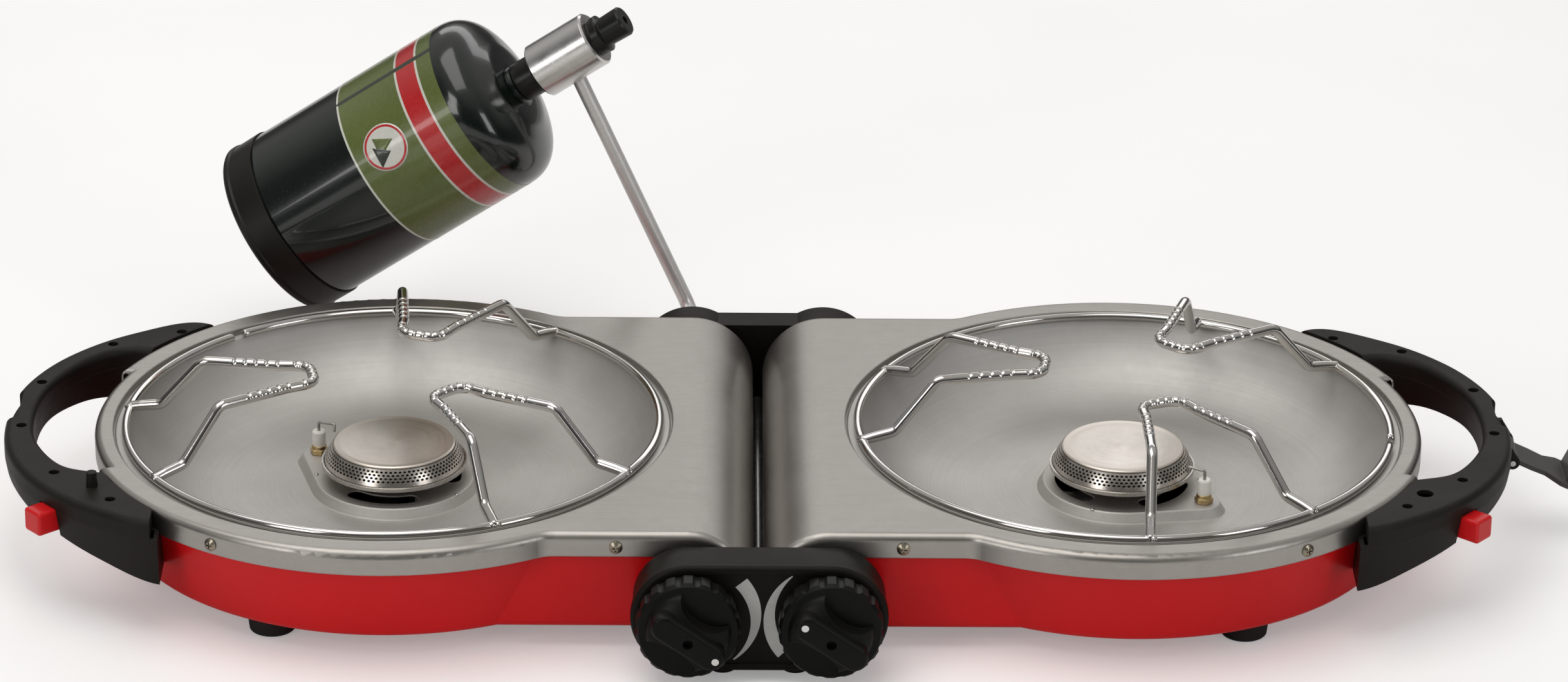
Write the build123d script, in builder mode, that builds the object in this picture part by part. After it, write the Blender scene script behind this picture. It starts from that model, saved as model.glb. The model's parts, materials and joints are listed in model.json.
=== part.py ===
from build123d import *
import os
from math import sin, cos, radians, sqrt

# Two-burner folding gas stove, opened flat, with its regulator arm and gas cylinder.
# Millimetres. The origin is on the ground under the middle of the spine that joins the two
# halves: +X is right, +Y is the rear and +Z is up. The left half is drawn at negative X; most
# right-hand pieces are the same piece turned half a turn about Z or mirrored in the YZ plane.

os.makedirs("parts", exist_ok=True)

# ---------------------------------------------------------------- shared dimensions
DECK_Z = 66.0          # cooking-deck height
HINGE_X = 35.0         # hinge and knob axes at x = +-HINGE_X
ROLL_R = 32.5          # rolled inner edge of the deck, about the hinge axis
HINGE_Z = DECK_Z - ROLL_R
BOWL_X = 187.5         # bowl centres at x = +-BOWL_X
DECK_R = 157.0         # round end of each deck
DECK_HALF = 134.0      # half depth of the straight part of each deck
SHEET = 1.0            # deck sheet thickness
SKIRT = 12.5           # depth of the turned-down skirt
HAND_HALF = 62.0       # half width of the recess for the hand
SHELL_Z = 11.0         # underside of the painted lower shells
SHELL_R_LOW = 139.8    # round end of the shell at its underside
Y_END = 138.0          # the spine beam ends at y = +-Y_END
PANEL_Y = -163.0       # front face of the control panel

ELECTRODE_X, ELECTRODE_Y = -40.5, 26.7   # from the bowl centre
LEAD_ANGLE = 205.2     # where the ignition lead enters the shell, about the bowl centre
LEAD_Z = DECK_Z - 17.8
LEAD_HOLE_R = 2.6
SCREW_Z = DECK_Z - 7.5  # skirt screw height


# ---------------------------------------------------------------- helpers
def at_y(y):
    """Upright plane at y, facing the front: positive extrusions run forwards (-Y)."""
    return Plane.XZ.offset(-y)


def at_z(z):
    """Level plane at height z."""
    return Plane.XY.offset(z)


def polar(radius, angle, centre_x=0):
    """Plan point at a radius and an angle in degrees about (centre_x, 0)."""
    return (centre_x + radius * cos(radians(angle)), radius * sin(radians(angle)))


def outward_plane(point, z, angle):
    """Plane at a plan point and height whose normal is level, at an angle in plan."""
    return Plane(origin=(*point, z), z_dir=(cos(radians(angle)), sin(radians(angle)), 0))


def from_deck(points):
    """Profile points (radius, height relative to the deck) as (radius, Z)."""
    return [(radius, DECK_Z + height) for radius, height in points]


def turned(points, plane=Plane.XZ, axis=Axis.Z):
    """Solid of revolution of a closed profile."""
    with BuildPart() as body:
        with BuildSketch(plane):
            with BuildLine():
                Polyline(*points, points[0])
            make_face()
        revolve(axis=axis)
    return body.part


def turned_about_y(points):
    """Solid of revolution about Y of a profile (radius, y)."""
    return turned(points, Plane.XY, Axis.Y)


def bent_rod(points, bend_radius, rod_radius):
    """Round rod along straight runs joined by bends."""
    with BuildPart() as rod:
        with BuildLine() as path:
            FilletPolyline(*points, radius=bend_radius)
        with BuildSketch(Plane(origin=path.line @ 0, z_dir=path.line % 0)):
            Circle(rod_radius)
        sweep()
    return rod.part


def at_left_bowl(part):
    """Moves a piece drawn about the bowl axis to the left bowl."""
    return Pos(-BOWL_X, 0, 0) * part


def spin(part):
    """The opposite piece by half a turn about Z."""
    return Rot(0, 0, 180) * part


def mirrored(part):
    """The opposite piece by mirroring left to right."""
    return mirror(part, about=Plane.YZ)


# ---------------------------------------------------------------- deck (pressed steel top)
HOLE_R = 143.0         # bowl opening
HAND_R = 152.6         # deck edge inside the hand recess
EDGE_R = 4.0           # rounding of the deck edge
CORNER_R = 16          # plan corners where the straight part meets the round end

# Skirt screws of the left half: x, y, outward direction in degrees
SKIRT_SCREWS = [(*polar(DECK_R, angle, -BOWL_X), angle) for angle in (238.0, 122.0)]
SKIRT_SCREWS += [(-71.0, -DECK_HALF, 270.0), (-71.0, DECK_HALF, 90.0)]


def deck_block(inset, z_low, edge_radius):
    """Solid of the deck outline, with the rolled edge about the hinge axis."""
    end_r, half_depth = DECK_R - inset, DECK_HALF - inset
    with BuildPart() as flat:
        with BuildSketch(at_z(z_low)) as outline:
            with Locations((-BOWL_X, 0)):
                Circle(end_r)
            with Locations(((-BOWL_X - HINGE_X) / 2, 0)):
                Rectangle(BOWL_X - HINGE_X, 2 * half_depth)
            with Locations((-HINGE_X + 20, 0)):
                Rectangle(40, 2 * end_r, mode=Mode.SUBTRACT)
            # shallow recess for the hand in the outer end
            with BuildSketch(mode=Mode.PRIVATE) as bite:
                with BuildLine():
                    Polyline((-BOWL_X - 120, 0),
                             (-BOWL_X - 135, -HAND_HALF + 7),
                             (-BOWL_X - 170, -HAND_HALF - 8 + inset),
                             (-BOWL_X - 170, HAND_HALF + 8 - inset),
                             (-BOWL_X - 135, HAND_HALF - 7),
                             (-BOWL_X - 120, 0))
                make_face()
                with Locations((-BOWL_X, 0)):
                    Circle(HAND_R - inset, mode=Mode.SUBTRACT)
            add(bite.sketch, mode=Mode.SUBTRACT)
            corners = [v for v in outline.vertices()
                       if abs(abs(v.Y) - half_depth) < 0.01
                       and -BOWL_X + 20 < v.X < -HINGE_X - 20]
            fillet(corners, CORNER_R)
        extrude(amount=DECK_Z - inset - z_low)
        # every top edge except the one that meets the roll
        fillet([e for e in flat.edges().group_by(Axis.Z)[-1]
                if abs(e.center().X + HINGE_X) > 0.01], edge_radius)
    with BuildPart() as roll:
        with BuildSketch(at_y(half_depth)):
            with Locations((-HINGE_X, HINGE_Z)):
                Circle(ROLL_R - inset)
            with Locations((-HINGE_X + ROLL_R / 2, HINGE_Z + ROLL_R / 2)):
                Rectangle(ROLL_R, ROLL_R, mode=Mode.INTERSECT)
        extrude(amount=2 * half_depth)
        fillet(roll.edges().filter_by(GeomType.CIRCLE), edge_radius)
    with BuildPart() as block:
        add(flat.part)
        add(roll.part)
    return block.part


def top_plate():
    with BuildPart() as plate:
        add(deck_block(0, DECK_Z - SKIRT, EDGE_R))
        add(deck_block(SHEET, DECK_Z - SKIRT - 5, EDGE_R - SHEET), mode=Mode.SUBTRACT)
        # the end flanges of the rolled edge are bands, open around the hinge
        with BuildSketch(at_y(DECK_HALF + 1)):
            with Locations((-HINGE_X, HINGE_Z)):
                Circle(ROLL_R - SKIRT)
        extrude(amount=2 * DECK_HALF + 2, mode=Mode.SUBTRACT)
        with BuildSketch(at_y(DECK_HALF + 1)):
            with Locations((-HINGE_X - 0.5 + 25, HINGE_Z - 25)):
                Rectangle(50, 50)
        extrude(amount=2 * DECK_HALF + 2, mode=Mode.SUBTRACT)
        # bowl opening with a turned-down lip
        with BuildSketch(at_z(DECK_Z - 3.2)):
            with Locations((-BOWL_X, 0)):
                Circle(HOLE_R + 1.0)
        extrude(amount=3.2)
        with BuildSketch(at_z(DECK_Z - 5)):
            with Locations((-BOWL_X, 0)):
                Circle(HOLE_R)
        extrude(amount=10, mode=Mode.SUBTRACT)
        lip = plate.edges().filter_by(GeomType.CIRCLE).filter_by(
            lambda e: abs(e.center().Z - DECK_Z) < 0.01 and abs(e.radius - HOLE_R) < 0.05)
        fillet(lip, 0.8)
        for x, y, angle in SKIRT_SCREWS:
            with BuildSketch(outward_plane((x, y), SCREW_Z, angle)):
                Circle(2.1)
            extrude(amount=5, both=True, mode=Mode.SUBTRACT)
    return plate.part


# ---------------------------------------------------------------- skirt screws
# (radius, distance out from the skirt face)
SKIRT_SCREW = [(0, 1.7), (1.6, 1.7), (3.3, 0.6), (3.3, 0.02), (1.85, 0.02), (1.85, -6.0),
               (1.2, -7.5), (0, -7.5)]


def skirt_screws():
    with BuildPart() as screw:
        add(turned(SKIRT_SCREW))
        with BuildSketch(at_z(0.7)):
            Rectangle(3.6, 0.8)
            Rectangle(0.8, 3.6)
        extrude(amount=2, mode=Mode.SUBTRACT)
    with BuildPart() as screws:
        for x, y, angle in SKIRT_SCREWS:
            out_x, out_y = cos(radians(angle)), sin(radians(angle))
            add(Plane(origin=(x, y, SCREW_Z), x_dir=(-out_y, out_x, 0),
                      z_dir=(out_x, out_y, 0)) * screw.part)
    return screws.part


# ---------------------------------------------------------------- drip bowl with its burner pad
BOWL_SHEET = 0.8
FLOOR_Z = DECK_Z - 37.0        # top of the bowl floor
FLOOR_UNDER = FLOOR_Z - BOWL_SHEET
PAD_Z = DECK_Z - 32.0          # top of the raised burner pad
PAD_R = 44.0
PAD_LOBE_R = 12.5              # lobe of the pad around the electrode
PAD_LOBE_AT = (ELECTRODE_X * 0.98, ELECTRODE_Y * 0.98)
PAD_SHEET = 1.0                # step between the pad's outer and inner outlines
# Stepped rim: (radius, height relative to the deck)
BOWL_RIM = [(141.3, -3.5), (142.1, -4.25), (145.6, -4.25), (146.2, -1.85), (148.0, -1.85),
            (148.0, -1.05), (145.3, -1.05), (144.7, -3.45), (142.4, -3.45), (141.6, -2.7),
            (137.4, -2.7)]


def drip_bowl():
    with BuildPart() as bowl:
        with BuildSketch(Plane.XZ):
            with BuildLine():
                upper_side = ThreePointArc((137.4, DECK_Z - 2.7), (115.7, DECK_Z - 27.7),
                                           (84, FLOOR_Z))
                Polyline(upper_side @ 1, (15, FLOOR_Z), (15, FLOOR_UNDER), (84, FLOOR_UNDER))
                under_side = ThreePointArc((84, FLOOR_UNDER), (115.98, DECK_Z - 28.48),
                                           (137.91, DECK_Z - 3.5))
                Polyline(under_side @ 1, *from_deck(BOWL_RIM))
            make_face()
        revolve(axis=Axis.Z)
        with BuildSketch(at_z(FLOOR_UNDER)):
            Circle(PAD_R)
            with Locations(PAD_LOBE_AT):
                Circle(PAD_LOBE_R)
            make_hull()
        extrude(amount=PAD_Z - FLOOR_UNDER, taper=30)
        pad_edge = bowl.edges().filter_by(lambda e: abs(e.center().Z - PAD_Z) < 0.01)
        fillet(pad_edge, 1.2)
        with BuildSketch(at_z(FLOOR_UNDER)):
            Circle(PAD_R - PAD_SHEET)
            with Locations(PAD_LOBE_AT):
                Circle(PAD_LOBE_R - PAD_SHEET)
            make_hull()
        extrude(amount=PAD_Z - FLOOR_Z, taper=30, mode=Mode.SUBTRACT)
        # holes for the burner and the electrode
        with BuildSketch(at_z(FLOOR_Z - 2)):
            Circle(15.0)
            with Locations((ELECTRODE_X, ELECTRODE_Y)):
                Circle(4.3)
        extrude(amount=12, mode=Mode.SUBTRACT)
        # three curved slots around the burner
        with BuildSketch(at_z(FLOOR_Z - 2)):
            with BuildLine(mode=Mode.PRIVATE) as slot_arc:
                CenterArc((0, 0), 30.0, -38, 56)
            with PolarLocations(0, 3, start_angle=-90):
                SlotArc(slot_arc.edges()[0], 9)
        extrude(amount=12, mode=Mode.SUBTRACT)
    return at_left_bowl(bowl.part)


# ---------------------------------------------------------------- painted lower shell
SHELL_SHEET = 1.2
SHELL_IN = -48.0       # x of the shell's inner end
SHELL_R_TOP = 154.8    # round end, near the deck
SHELL_D_TOP = 131.8    # half depth of the straight part, near the deck
SHELL_D_LOW = 128.4    # and at the underside
SHELL_TAPER_TOP = DECK_Z - 3.0   # height at which the top sizes hold


def shell_block(inset, z_low, z_high, edge_radius):
    """Tapered solid of the shell between two heights, its lower edges rounded."""
    def size_at(z, low, top):
        share = (z - SHELL_Z) / (SHELL_TAPER_TOP - SHELL_Z)
        return low + (top - low) * share - inset

    r_low, r_high = (size_at(z, SHELL_R_LOW, SHELL_R_TOP) for z in (z_low, z_high))
    d_low, d_high = (size_at(z, SHELL_D_LOW, SHELL_D_TOP) for z in (z_low, z_high))
    with BuildPart() as block:
        with BuildSketch(Plane.XZ):
            with BuildLine():
                Polyline((0, z_low), (r_low, z_low), (r_high, z_high), (0, z_high), (0, z_low))
            make_face()
        revolve(axis=Axis.Z)
        with BuildSketch(Plane.YZ):
            with BuildLine():
                Polyline((-d_low, z_low), (d_low, z_low), (d_high, z_high), (-d_high, z_high),
                         (-d_low, z_low))
            make_face()
        extrude(amount=BOWL_X + SHELL_IN)
    with BuildPart() as rounded:
        add(at_left_bowl(block.part))
        bottom = rounded.edges().group_by(Axis.Z)[0]
        fillet([e for e in bottom if abs(e.center().X - SHELL_IN) > 0.5], edge_radius)
    return rounded.part


def lower_shell(lead_angle):
    """Left shell, with the lead hole at an angle about the bowl centre."""
    with BuildPart() as shell:
        add(shell_block(0, SHELL_Z, DECK_Z - 5.2, 5))
        add(shell_block(SHELL_SHEET, SHELL_Z + SHELL_SHEET, DECK_Z, 4), mode=Mode.SUBTRACT)
        # open inner end
        with BuildSketch(at_z(SHELL_Z - 1)):
            with Locations((SHELL_IN + 15, 0)):
                Rectangle(30, 320)
        extrude(amount=60, mode=Mode.SUBTRACT)
        # rim cut down at the hand recess
        with BuildSketch(at_z(DECK_Z - 13.3)):
            with Locations((-BOWL_X - 150, 0)):
                Rectangle(60, 2 * HAND_HALF + 26)
        extrude(amount=20, mode=Mode.SUBTRACT)
        for x, y, angle in SKIRT_SCREWS:
            with BuildSketch(outward_plane((x, y), SCREW_Z, angle)):
                Circle(1.95)
            extrude(amount=7, both=True, mode=Mode.SUBTRACT)
        with BuildSketch(outward_plane(polar(135, lead_angle, -BOWL_X), LEAD_Z, lead_angle)):
            Circle(LEAD_HOLE_R)
        extrude(amount=30, mode=Mode.SUBTRACT)
        # air inlets under the bowl
        with BuildSketch(at_z(SHELL_Z - 1)):
            with Locations((-BOWL_X, 0)):
                with PolarLocations(70, 6):
                    SlotOverall(34, 5, rotation=90)
        extrude(amount=4, mode=Mode.SUBTRACT)
    return shell.part


def feet():
    with BuildPart() as pair:
        with BuildSketch(Plane.XY):
            for angle in (242.5, 117.5):
                with Locations(polar(121, angle, -BOWL_X)):
                    Circle(11.5)
        extrude(amount=SHELL_Z, taper=-6)
        fillet(pair.edges().group_by(Axis.Z)[0], 1.5)
    return pair.part


# ---------------------------------------------------------------- hinge brackets
HINGE_BOSS_R = 9.0
HINGE_BORE_R = 9.05
BRACKET_Y = 123.5      # inner faces of the ears at y = +-BRACKET_Y
EAR_T = 3.0


def hinge_brackets():
    """A pair of ears under the deck, each with a flange against the deck sheet."""
    with BuildPart() as brackets:
        for ear_y in (-BRACKET_Y, BRACKET_Y + EAR_T):
            with BuildSketch(at_y(ear_y)):
                with Locations((-HINGE_X, HINGE_Z)):
                    Circle(17.0)
                with BuildLine():
                    Polyline((-HINGE_X, HINGE_Z + 17), (-HINGE_X - 4, DECK_Z - SHEET),
                             (-HINGE_X - 45, DECK_Z - SHEET), (-HINGE_X - 45, DECK_Z - 12),
                             (-HINGE_X - 15, HINGE_Z - 8), (-HINGE_X, HINGE_Z + 17))
                make_face()
                with Locations((-HINGE_X, HINGE_Z)):
                    Circle(HINGE_BORE_R, mode=Mode.SUBTRACT)
            extrude(amount=EAR_T)
        for side in (-1, 1):
            with BuildSketch(at_z(DECK_Z - SHEET - 2.0)):
                with Locations((-HINGE_X - 25, side * (BRACKET_Y - 5.5))):
                    Rectangle(40, 11.0)
            extrude(amount=2.0)
    return brackets.part


# ---------------------------------------------------------------- handles
# Drawn about the bowl axis of the left half, so x is measured from the bowl centre.
# Outer edge in plan (x, y), from the rear end to the middle; the front half mirrors it.
HANDLE_REAR = [(-101, 119.6), (-113, 123.5), (-125, 120.0), (-136, 113.5), (-155, 100),
               (-169, 86), (-181, 69.5), (-189, 53.5), (-195.5, 33), (-198, 15), (-198.5, 0)]
HANDLE_EDGE = HANDLE_REAR + [(x, -y) for x, y in HANDLE_REAR[-2::-1]]
# Outer edge of the hand opening in plan (x, y), from rear to front
HAND_OPENING = [(-131, 84.6), (-147, 84.6), (-160, 76), (-171.5, 60), (-180, 41), (-184, 20),
                (-184.3, 0), (-180.8, -24), (-177.5, -33), (-170, -47.5), (-160, -58.5),
                (-149, -62.5), (-143.5, -64.0)]
# Screw bosses (x, y)
BOSSES = [(-118.0, 108.5), (-152.7, 91.9), (-185.0, 43.0), (-189.6, -10.5), (-167.0, -66.5),
          (-135.9, -97.6)]
SPLIT_Z = DECK_Z - 10.0        # joint between the upper and lower handle shells
HANDLE_LOW = DECK_Z - 38.0     # lowest height of the underside
HANDLE_REAR_X = -101           # rear end of the handle
UPPER_END_X = -114.2           # front end of the upper shell
LOWER_END_X = -110.5           # front end of the lower shell
HANDLE_LEAN = 4.4              # inward lean of the outer wall over the lower shell
HANDLE_WALL = 2.2
ROUND_GAP = 0.3                # clearance to the deck skirt and lower shell
TILT = 0.25                    # rise of the underside per mm towards the grip
TILT_X, TILT_Z = -113.0, DECK_Z - 36.0   # a point on the sloping underside
TILT_STRETCH = 1.03            # vertical thickness of the sloping wall over its true one
PEG = (-146.3, -82.8)          # locating peg on the left handle, hole in the right
NOTCH_Y, NOTCH_W = 16.0, 36.0  # notch in the outer edge, at the fold latch
BUTTON_NORMAL = (-0.756, -0.655)
BUTTON_PLANE = Plane(origin=(-168.5, -86.5, DECK_Z - 15.2),
                     x_dir=(-BUTTON_NORMAL[1], BUTTON_NORMAL[0], 0),
                     z_dir=(*BUTTON_NORMAL, 0))
BUTTON_HOLE = (13.8, 13.0)


def shifted(points, distance):
    """Points moved by a distance towards the left of their direction of travel."""
    moved = []
    for i, point in enumerate(points):
        before, after = points[max(i - 1, 0)], points[min(i + 1, len(points) - 1)]
        along_x, along_y = after[0] - before[0], after[1] - before[1]
        length = sqrt(along_x * along_x + along_y * along_y)
        moved.append((point[0] - distance * along_y / length,
                      point[1] + distance * along_x / length))
    return moved


def handle_area(inset):
    """Plan of the handle: a bow outside the round deck, with the hand opening."""
    with BuildSketch() as area:
        with BuildLine():
            bow = Spline(shifted(HANDLE_EDGE, inset))
            Line(bow @ 1, bow @ 0)
        make_face()
        if inset:
            with Locations((HANDLE_REAR_X, 0)):
                Rectangle(2 * inset, 300, mode=Mode.SUBTRACT)
        with Locations((UPPER_END_X - inset + 20, -100)):
            Rectangle(40, 80, mode=Mode.SUBTRACT)
        Circle(DECK_R + 0.25 + inset, mode=Mode.SUBTRACT)
        with BuildLine():
            opening = Spline(shifted(HAND_OPENING, -inset))
            Polyline(opening @ 1, (-100, -60 - inset), (-100, 80), opening @ 0)
        make_face(mode=Mode.SUBTRACT)
    return area.sketch


def underside_z(x):
    """Height of the handle's underside at x from the bowl axis."""
    return max(HANDLE_LOW, TILT_Z - TILT * (x - TILT_X))


def screw_tip_z(x):
    """Lower end of the handle screw in a boss at x."""
    return max(DECK_Z - 20.0, underside_z(x) + 3.4)


def above_underside(lift):
    """Everything above the sloping underside, raised by lift."""
    outer_x = -215
    outer_z = TILT_Z - TILT * (outer_x - TILT_X) + lift
    with BuildPart() as block:
        with BuildSketch(at_y(160)):
            with BuildLine():
                Polyline((-90, HANDLE_LOW + lift), (-105, HANDLE_LOW + lift),
                         (outer_x, outer_z), (outer_x, DECK_Z + 5), (-90, DECK_Z + 5),
                         (-90, HANDLE_LOW + lift))
            make_face()
        extrude(amount=320)
    return block.part


def round_clear(gap):
    """Everything inside the deck skirt and the leaning shell, grown by a gap."""
    return turned([(0, 5), (SHELL_R_LOW - 1.8 + gap, 5), (151.9 + gap, DECK_Z - 13.0),
                   (DECK_R + gap, DECK_Z - 13.0), (DECK_R + gap, DECK_Z + 5),
                   (0, DECK_Z + 5)])


def handle_upper_blank():
    """Upper handle shell, as shared by both sides."""
    outer_area, inner_area = handle_area(0), handle_area(HANDLE_WALL)
    depth = DECK_Z - SPLIT_Z
    with BuildPart() as upper:
        with BuildSketch(at_z(SPLIT_Z)):
            add(outer_area)
        extrude(amount=depth)
        fillet([e for e in upper.edges().group_by(Axis.Z)[-1] if e.length > 60], 3.6)
        # hollow it, leaving solid material around the notch
        with BuildSketch(at_z(SPLIT_Z)):
            add(inner_area)
            with Locations((-195, NOTCH_Y)):
                Rectangle(9.5, NOTCH_W + 6, mode=Mode.SUBTRACT)
        extrude(amount=depth - HANDLE_WALL, mode=Mode.SUBTRACT)
        # bosses, then screw-head recesses and screw holes
        with BuildSketch(at_z(SPLIT_Z + 0.2)):
            with Locations(*BOSSES):
                Circle(4.2)
        extrude(amount=8.5)
        with BuildSketch(at_z(DECK_Z - 5.5)):
            with Locations(*BOSSES):
                Circle(2.7)
        extrude(amount=7, mode=Mode.SUBTRACT)
        with BuildSketch(at_z(SPLIT_Z - 1)):
            with Locations(*BOSSES):
                Circle(1.75)
        extrude(amount=12, mode=Mode.SUBTRACT)
        # notch, widening outwards
        notch_front, notch_rear = NOTCH_Y - NOTCH_W / 2, NOTCH_Y + NOTCH_W / 2
        with BuildSketch(at_z(DECK_Z - 9.0)):
            with BuildLine():
                Polyline((-205, notch_front - 3), (-193, notch_front + 2),
                         (-193, notch_rear - 2), (-205, notch_rear + 3),
                         (-205, notch_front - 3))
            make_face()
        extrude(amount=12, mode=Mode.SUBTRACT)
        with BuildSketch(BUTTON_PLANE.offset(-6)):
            Rectangle(*BUTTON_HOLE)
        extrude(amount=20, mode=Mode.SUBTRACT)
        add(round_clear(ROUND_GAP), mode=Mode.SUBTRACT)
    return upper.part


def handle_upper_left(blank):
    with BuildPart() as upper:
        add(blank)
        with BuildSketch(at_z(DECK_Z - 1)):
            with Locations(PEG):
                Circle(3.0)
        extrude(amount=9, taper=3)
        # slot that the fold latch drops into
        with BuildSketch(at_z(DECK_Z - 8.2)):
            with Locations((-192, NOTCH_Y)):
                Rectangle(6, 24)
        extrude(amount=5.2, mode=Mode.SUBTRACT)
    return at_left_bowl(upper.part)


def handle_upper_right(blank):
    with BuildPart() as upper:
        add(blank)
        with BuildSketch(at_z(DECK_Z - 6)):
            with Locations(PEG):
                Circle(4.2)
        extrude(amount=8, mode=Mode.SUBTRACT)
    return mirrored(at_left_bowl(upper.part))


def leaning_block(points, closing, z_high, z_low, shift_high, shift_low):
    """Loft between a curve at z_high and the same curve moved sideways at z_low.

    The curve is closed through the closing points by straight lines.
    """
    with BuildPart() as block:
        for z, shift in ((z_high, shift_high), (z_low, shift_low)):
            with BuildSketch(at_z(z)):
                with BuildLine():
                    curve = Spline(shifted(points, shift))
                    Polyline(curve @ 1, *closing, curve @ 0)
                make_face()
        loft()
    return block.part


def lower_block(inset):
    """Solid of the lower handle shell, or with an inset the hollow inside it."""
    z_low = HANDLE_LOW + inset
    bow = leaning_block(HANDLE_EDGE, (), SPLIT_Z, z_low, inset, inset + HANDLE_LEAN)
    opening = leaning_block(HAND_OPENING, ((-100, -60 - inset), (-100, 80)),
                            SPLIT_Z + 1, z_low - 1, -inset, -inset)
    with BuildPart() as block:
        add(bow)
        add(opening, mode=Mode.SUBTRACT)
        add(round_clear(ROUND_GAP + inset), mode=Mode.SUBTRACT)
        if inset:
            # leaves a wall at the rear end
            with BuildSketch(at_z(z_low - 1)):
                with Locations((-95, 0)):
                    Rectangle(12 + 2 * inset, 300)
            extrude(amount=60, mode=Mode.SUBTRACT)
        with BuildSketch(at_z(z_low - 1)):
            with Locations((LOWER_END_X - inset + 20, -100)):
                Rectangle(40, 80)
        extrude(amount=60, mode=Mode.SUBTRACT)
        add(above_underside(TILT_STRETCH * inset), mode=Mode.INTERSECT)
    return block.part


def handle_lower_left():
    with BuildPart() as lower:
        add(lower_block(0))
        add(lower_block(HANDLE_WALL), mode=Mode.SUBTRACT)
        for boss in BOSSES:
            boss_z = underside_z(boss[0]) + 1.6
            with BuildSketch(at_z(boss_z)):
                with Locations(boss):
                    Circle(3.6)
            extrude(amount=SPLIT_Z - boss_z)
        for boss in BOSSES:
            with BuildSketch(at_z(screw_tip_z(boss[0]) - 0.5)):
                with Locations(boss):
                    Circle(1.5)
            extrude(amount=30, mode=Mode.SUBTRACT)
        add(round_clear(ROUND_GAP), mode=Mode.SUBTRACT)
        # igniter opening
        with BuildSketch(BUTTON_PLANE.offset(-10.6)):
            Rectangle(*BUTTON_HOLE)
            with Locations((0, -7)):
                Rectangle(*BUTTON_HOLE)
        extrude(amount=24.6, mode=Mode.SUBTRACT)
        with BuildSketch(outward_plane(polar(140, LEAD_ANGLE), LEAD_Z, LEAD_ANGLE)):
            Circle(LEAD_HOLE_R)
        extrude(amount=25, mode=Mode.SUBTRACT)
    return at_left_bowl(lower.part)


def handle_screws():
    head_z = DECK_Z - 5.5
    with BuildPart() as screws:
        for x, y in BOSSES:
            with BuildSketch(at_z(head_z)):
                with Locations((x - BOWL_X, y)):
                    Circle(2.5)
            extrude(amount=1.6)
            with BuildSketch(at_z(screw_tip_z(x))):
                with Locations((x - BOWL_X, y)):
                    Circle(1.4)
            extrude(amount=head_z - screw_tip_z(x))
    return screws.part


# ---------------------------------------------------------------- fold latch on the right handle
LATCH_X, LATCH_Y, LATCH_Z = 389.2, NOTCH_Y, DECK_Z - 22.0   # latch pin centre
LATCH_DROOP = 25.0     # degrees past level in its hanging position
PIN_R = 1.5
PIN_BORE_R = 1.55


def handle_lower_right(blank):
    """Mirrored lower handle shell with two ears for the latch pin."""
    root_x = LATCH_X - 9.0
    with BuildPart() as lower:
        add(blank)
        for ear_y in (LATCH_Y - 15.2, LATCH_Y + 11.7):
            with BuildSketch(at_y(ear_y + 3.5)):
                with Locations((LATCH_X, LATCH_Z)):
                    Circle(3.8)
                with BuildLine():
                    Polyline((root_x, SPLIT_Z - 0.2), (LATCH_X - 2.9, SPLIT_Z - 0.2),
                             (LATCH_X + 3.6, LATCH_Z + 1.0), (LATCH_X, LATCH_Z - 3.7),
                             (LATCH_X - 3.4, LATCH_Z - 1.6), (root_x, SPLIT_Z - 6.0),
                             (root_x, SPLIT_Z - 0.2))
                make_face()
                with Locations((LATCH_X, LATCH_Z)):
                    Circle(PIN_R + 0.01, mode=Mode.SUBTRACT)
            extrude(amount=3.5)
    return lower.part


def latch_pin():
    with BuildPart() as pin:
        with BuildSketch(at_y(LATCH_Y + 16.6)):
            with Locations((LATCH_X, LATCH_Z)):
                Circle(PIN_R)
        extrude(amount=33.2)
    return pin.part


# Half outline of the latch strap: (half width, height above the pin)
STRAP_HALF = [(11.0, 0), (11.0, 12), (10.0, 20), (15.0, 28.5), (15.0, 33.0)]


def latch_hook():
    """Drawn closed, standing up, then swung down to its hanging position."""
    outline = [(LATCH_Y + w, z) for w, z in STRAP_HALF]
    outline += [(LATCH_Y - w, z) for w, z in STRAP_HALF[::-1]]
    with BuildPart() as latch:
        with BuildSketch(at_y(LATCH_Y + 11.0)):
            Circle(3.6)
        extrude(amount=22.0)
        with BuildSketch(Plane.YZ.offset(-1.2)) as strap:
            with BuildLine():
                Polyline(outline[-1], *outline)
            make_face()
            fillet(strap.vertices().group_by(Axis.Z)[1:], 3)
        extrude(amount=2.4)
        # hook lip
        with BuildSketch(at_z(31.0)):
            with Locations((-5.4, LATCH_Y)):
                Rectangle(10.0, 22.5)
        extrude(amount=2.0)
        with BuildSketch(at_y(LATCH_Y + 20)):
            Circle(PIN_BORE_R)
        extrude(amount=40, mode=Mode.SUBTRACT)
    return Pos(LATCH_X, 0, LATCH_Z) * Rot(0, 90 + LATCH_DROOP, 0) * latch.part


# ---------------------------------------------------------------- igniters
def igniter_button():
    with BuildPart() as button:
        with BuildSketch(BUTTON_PLANE.offset(-5.5)):
            RectangleRounded(13.2, 12.4, 2.0)
        extrude(amount=15.5)
        outward = Axis((0, 0, 0), (*BUTTON_NORMAL, 0))
        fillet(button.faces().sort_by(outward)[-1].edges(), 1.5)
        with BuildSketch(BUTTON_PLANE.offset(-7.0)):
            RectangleRounded(15.6, 9.0, 1.5)
        extrude(amount=1.6)
    return at_left_bowl(button.part)


def igniter_unit():
    with BuildPart() as unit:
        with BuildSketch(BUTTON_PLANE.offset(-23.5)):
            RectangleRounded(11.0, 10.0, 1.0)
        extrude(amount=11.5)
    return at_left_bowl(unit.part)


# ---------------------------------------------------------------- burner
BURNER_R = 37.4        # burner flange
MIXER_Z = DECK_Z - 46.0  # mixer tube axis where it enters the burner
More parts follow.
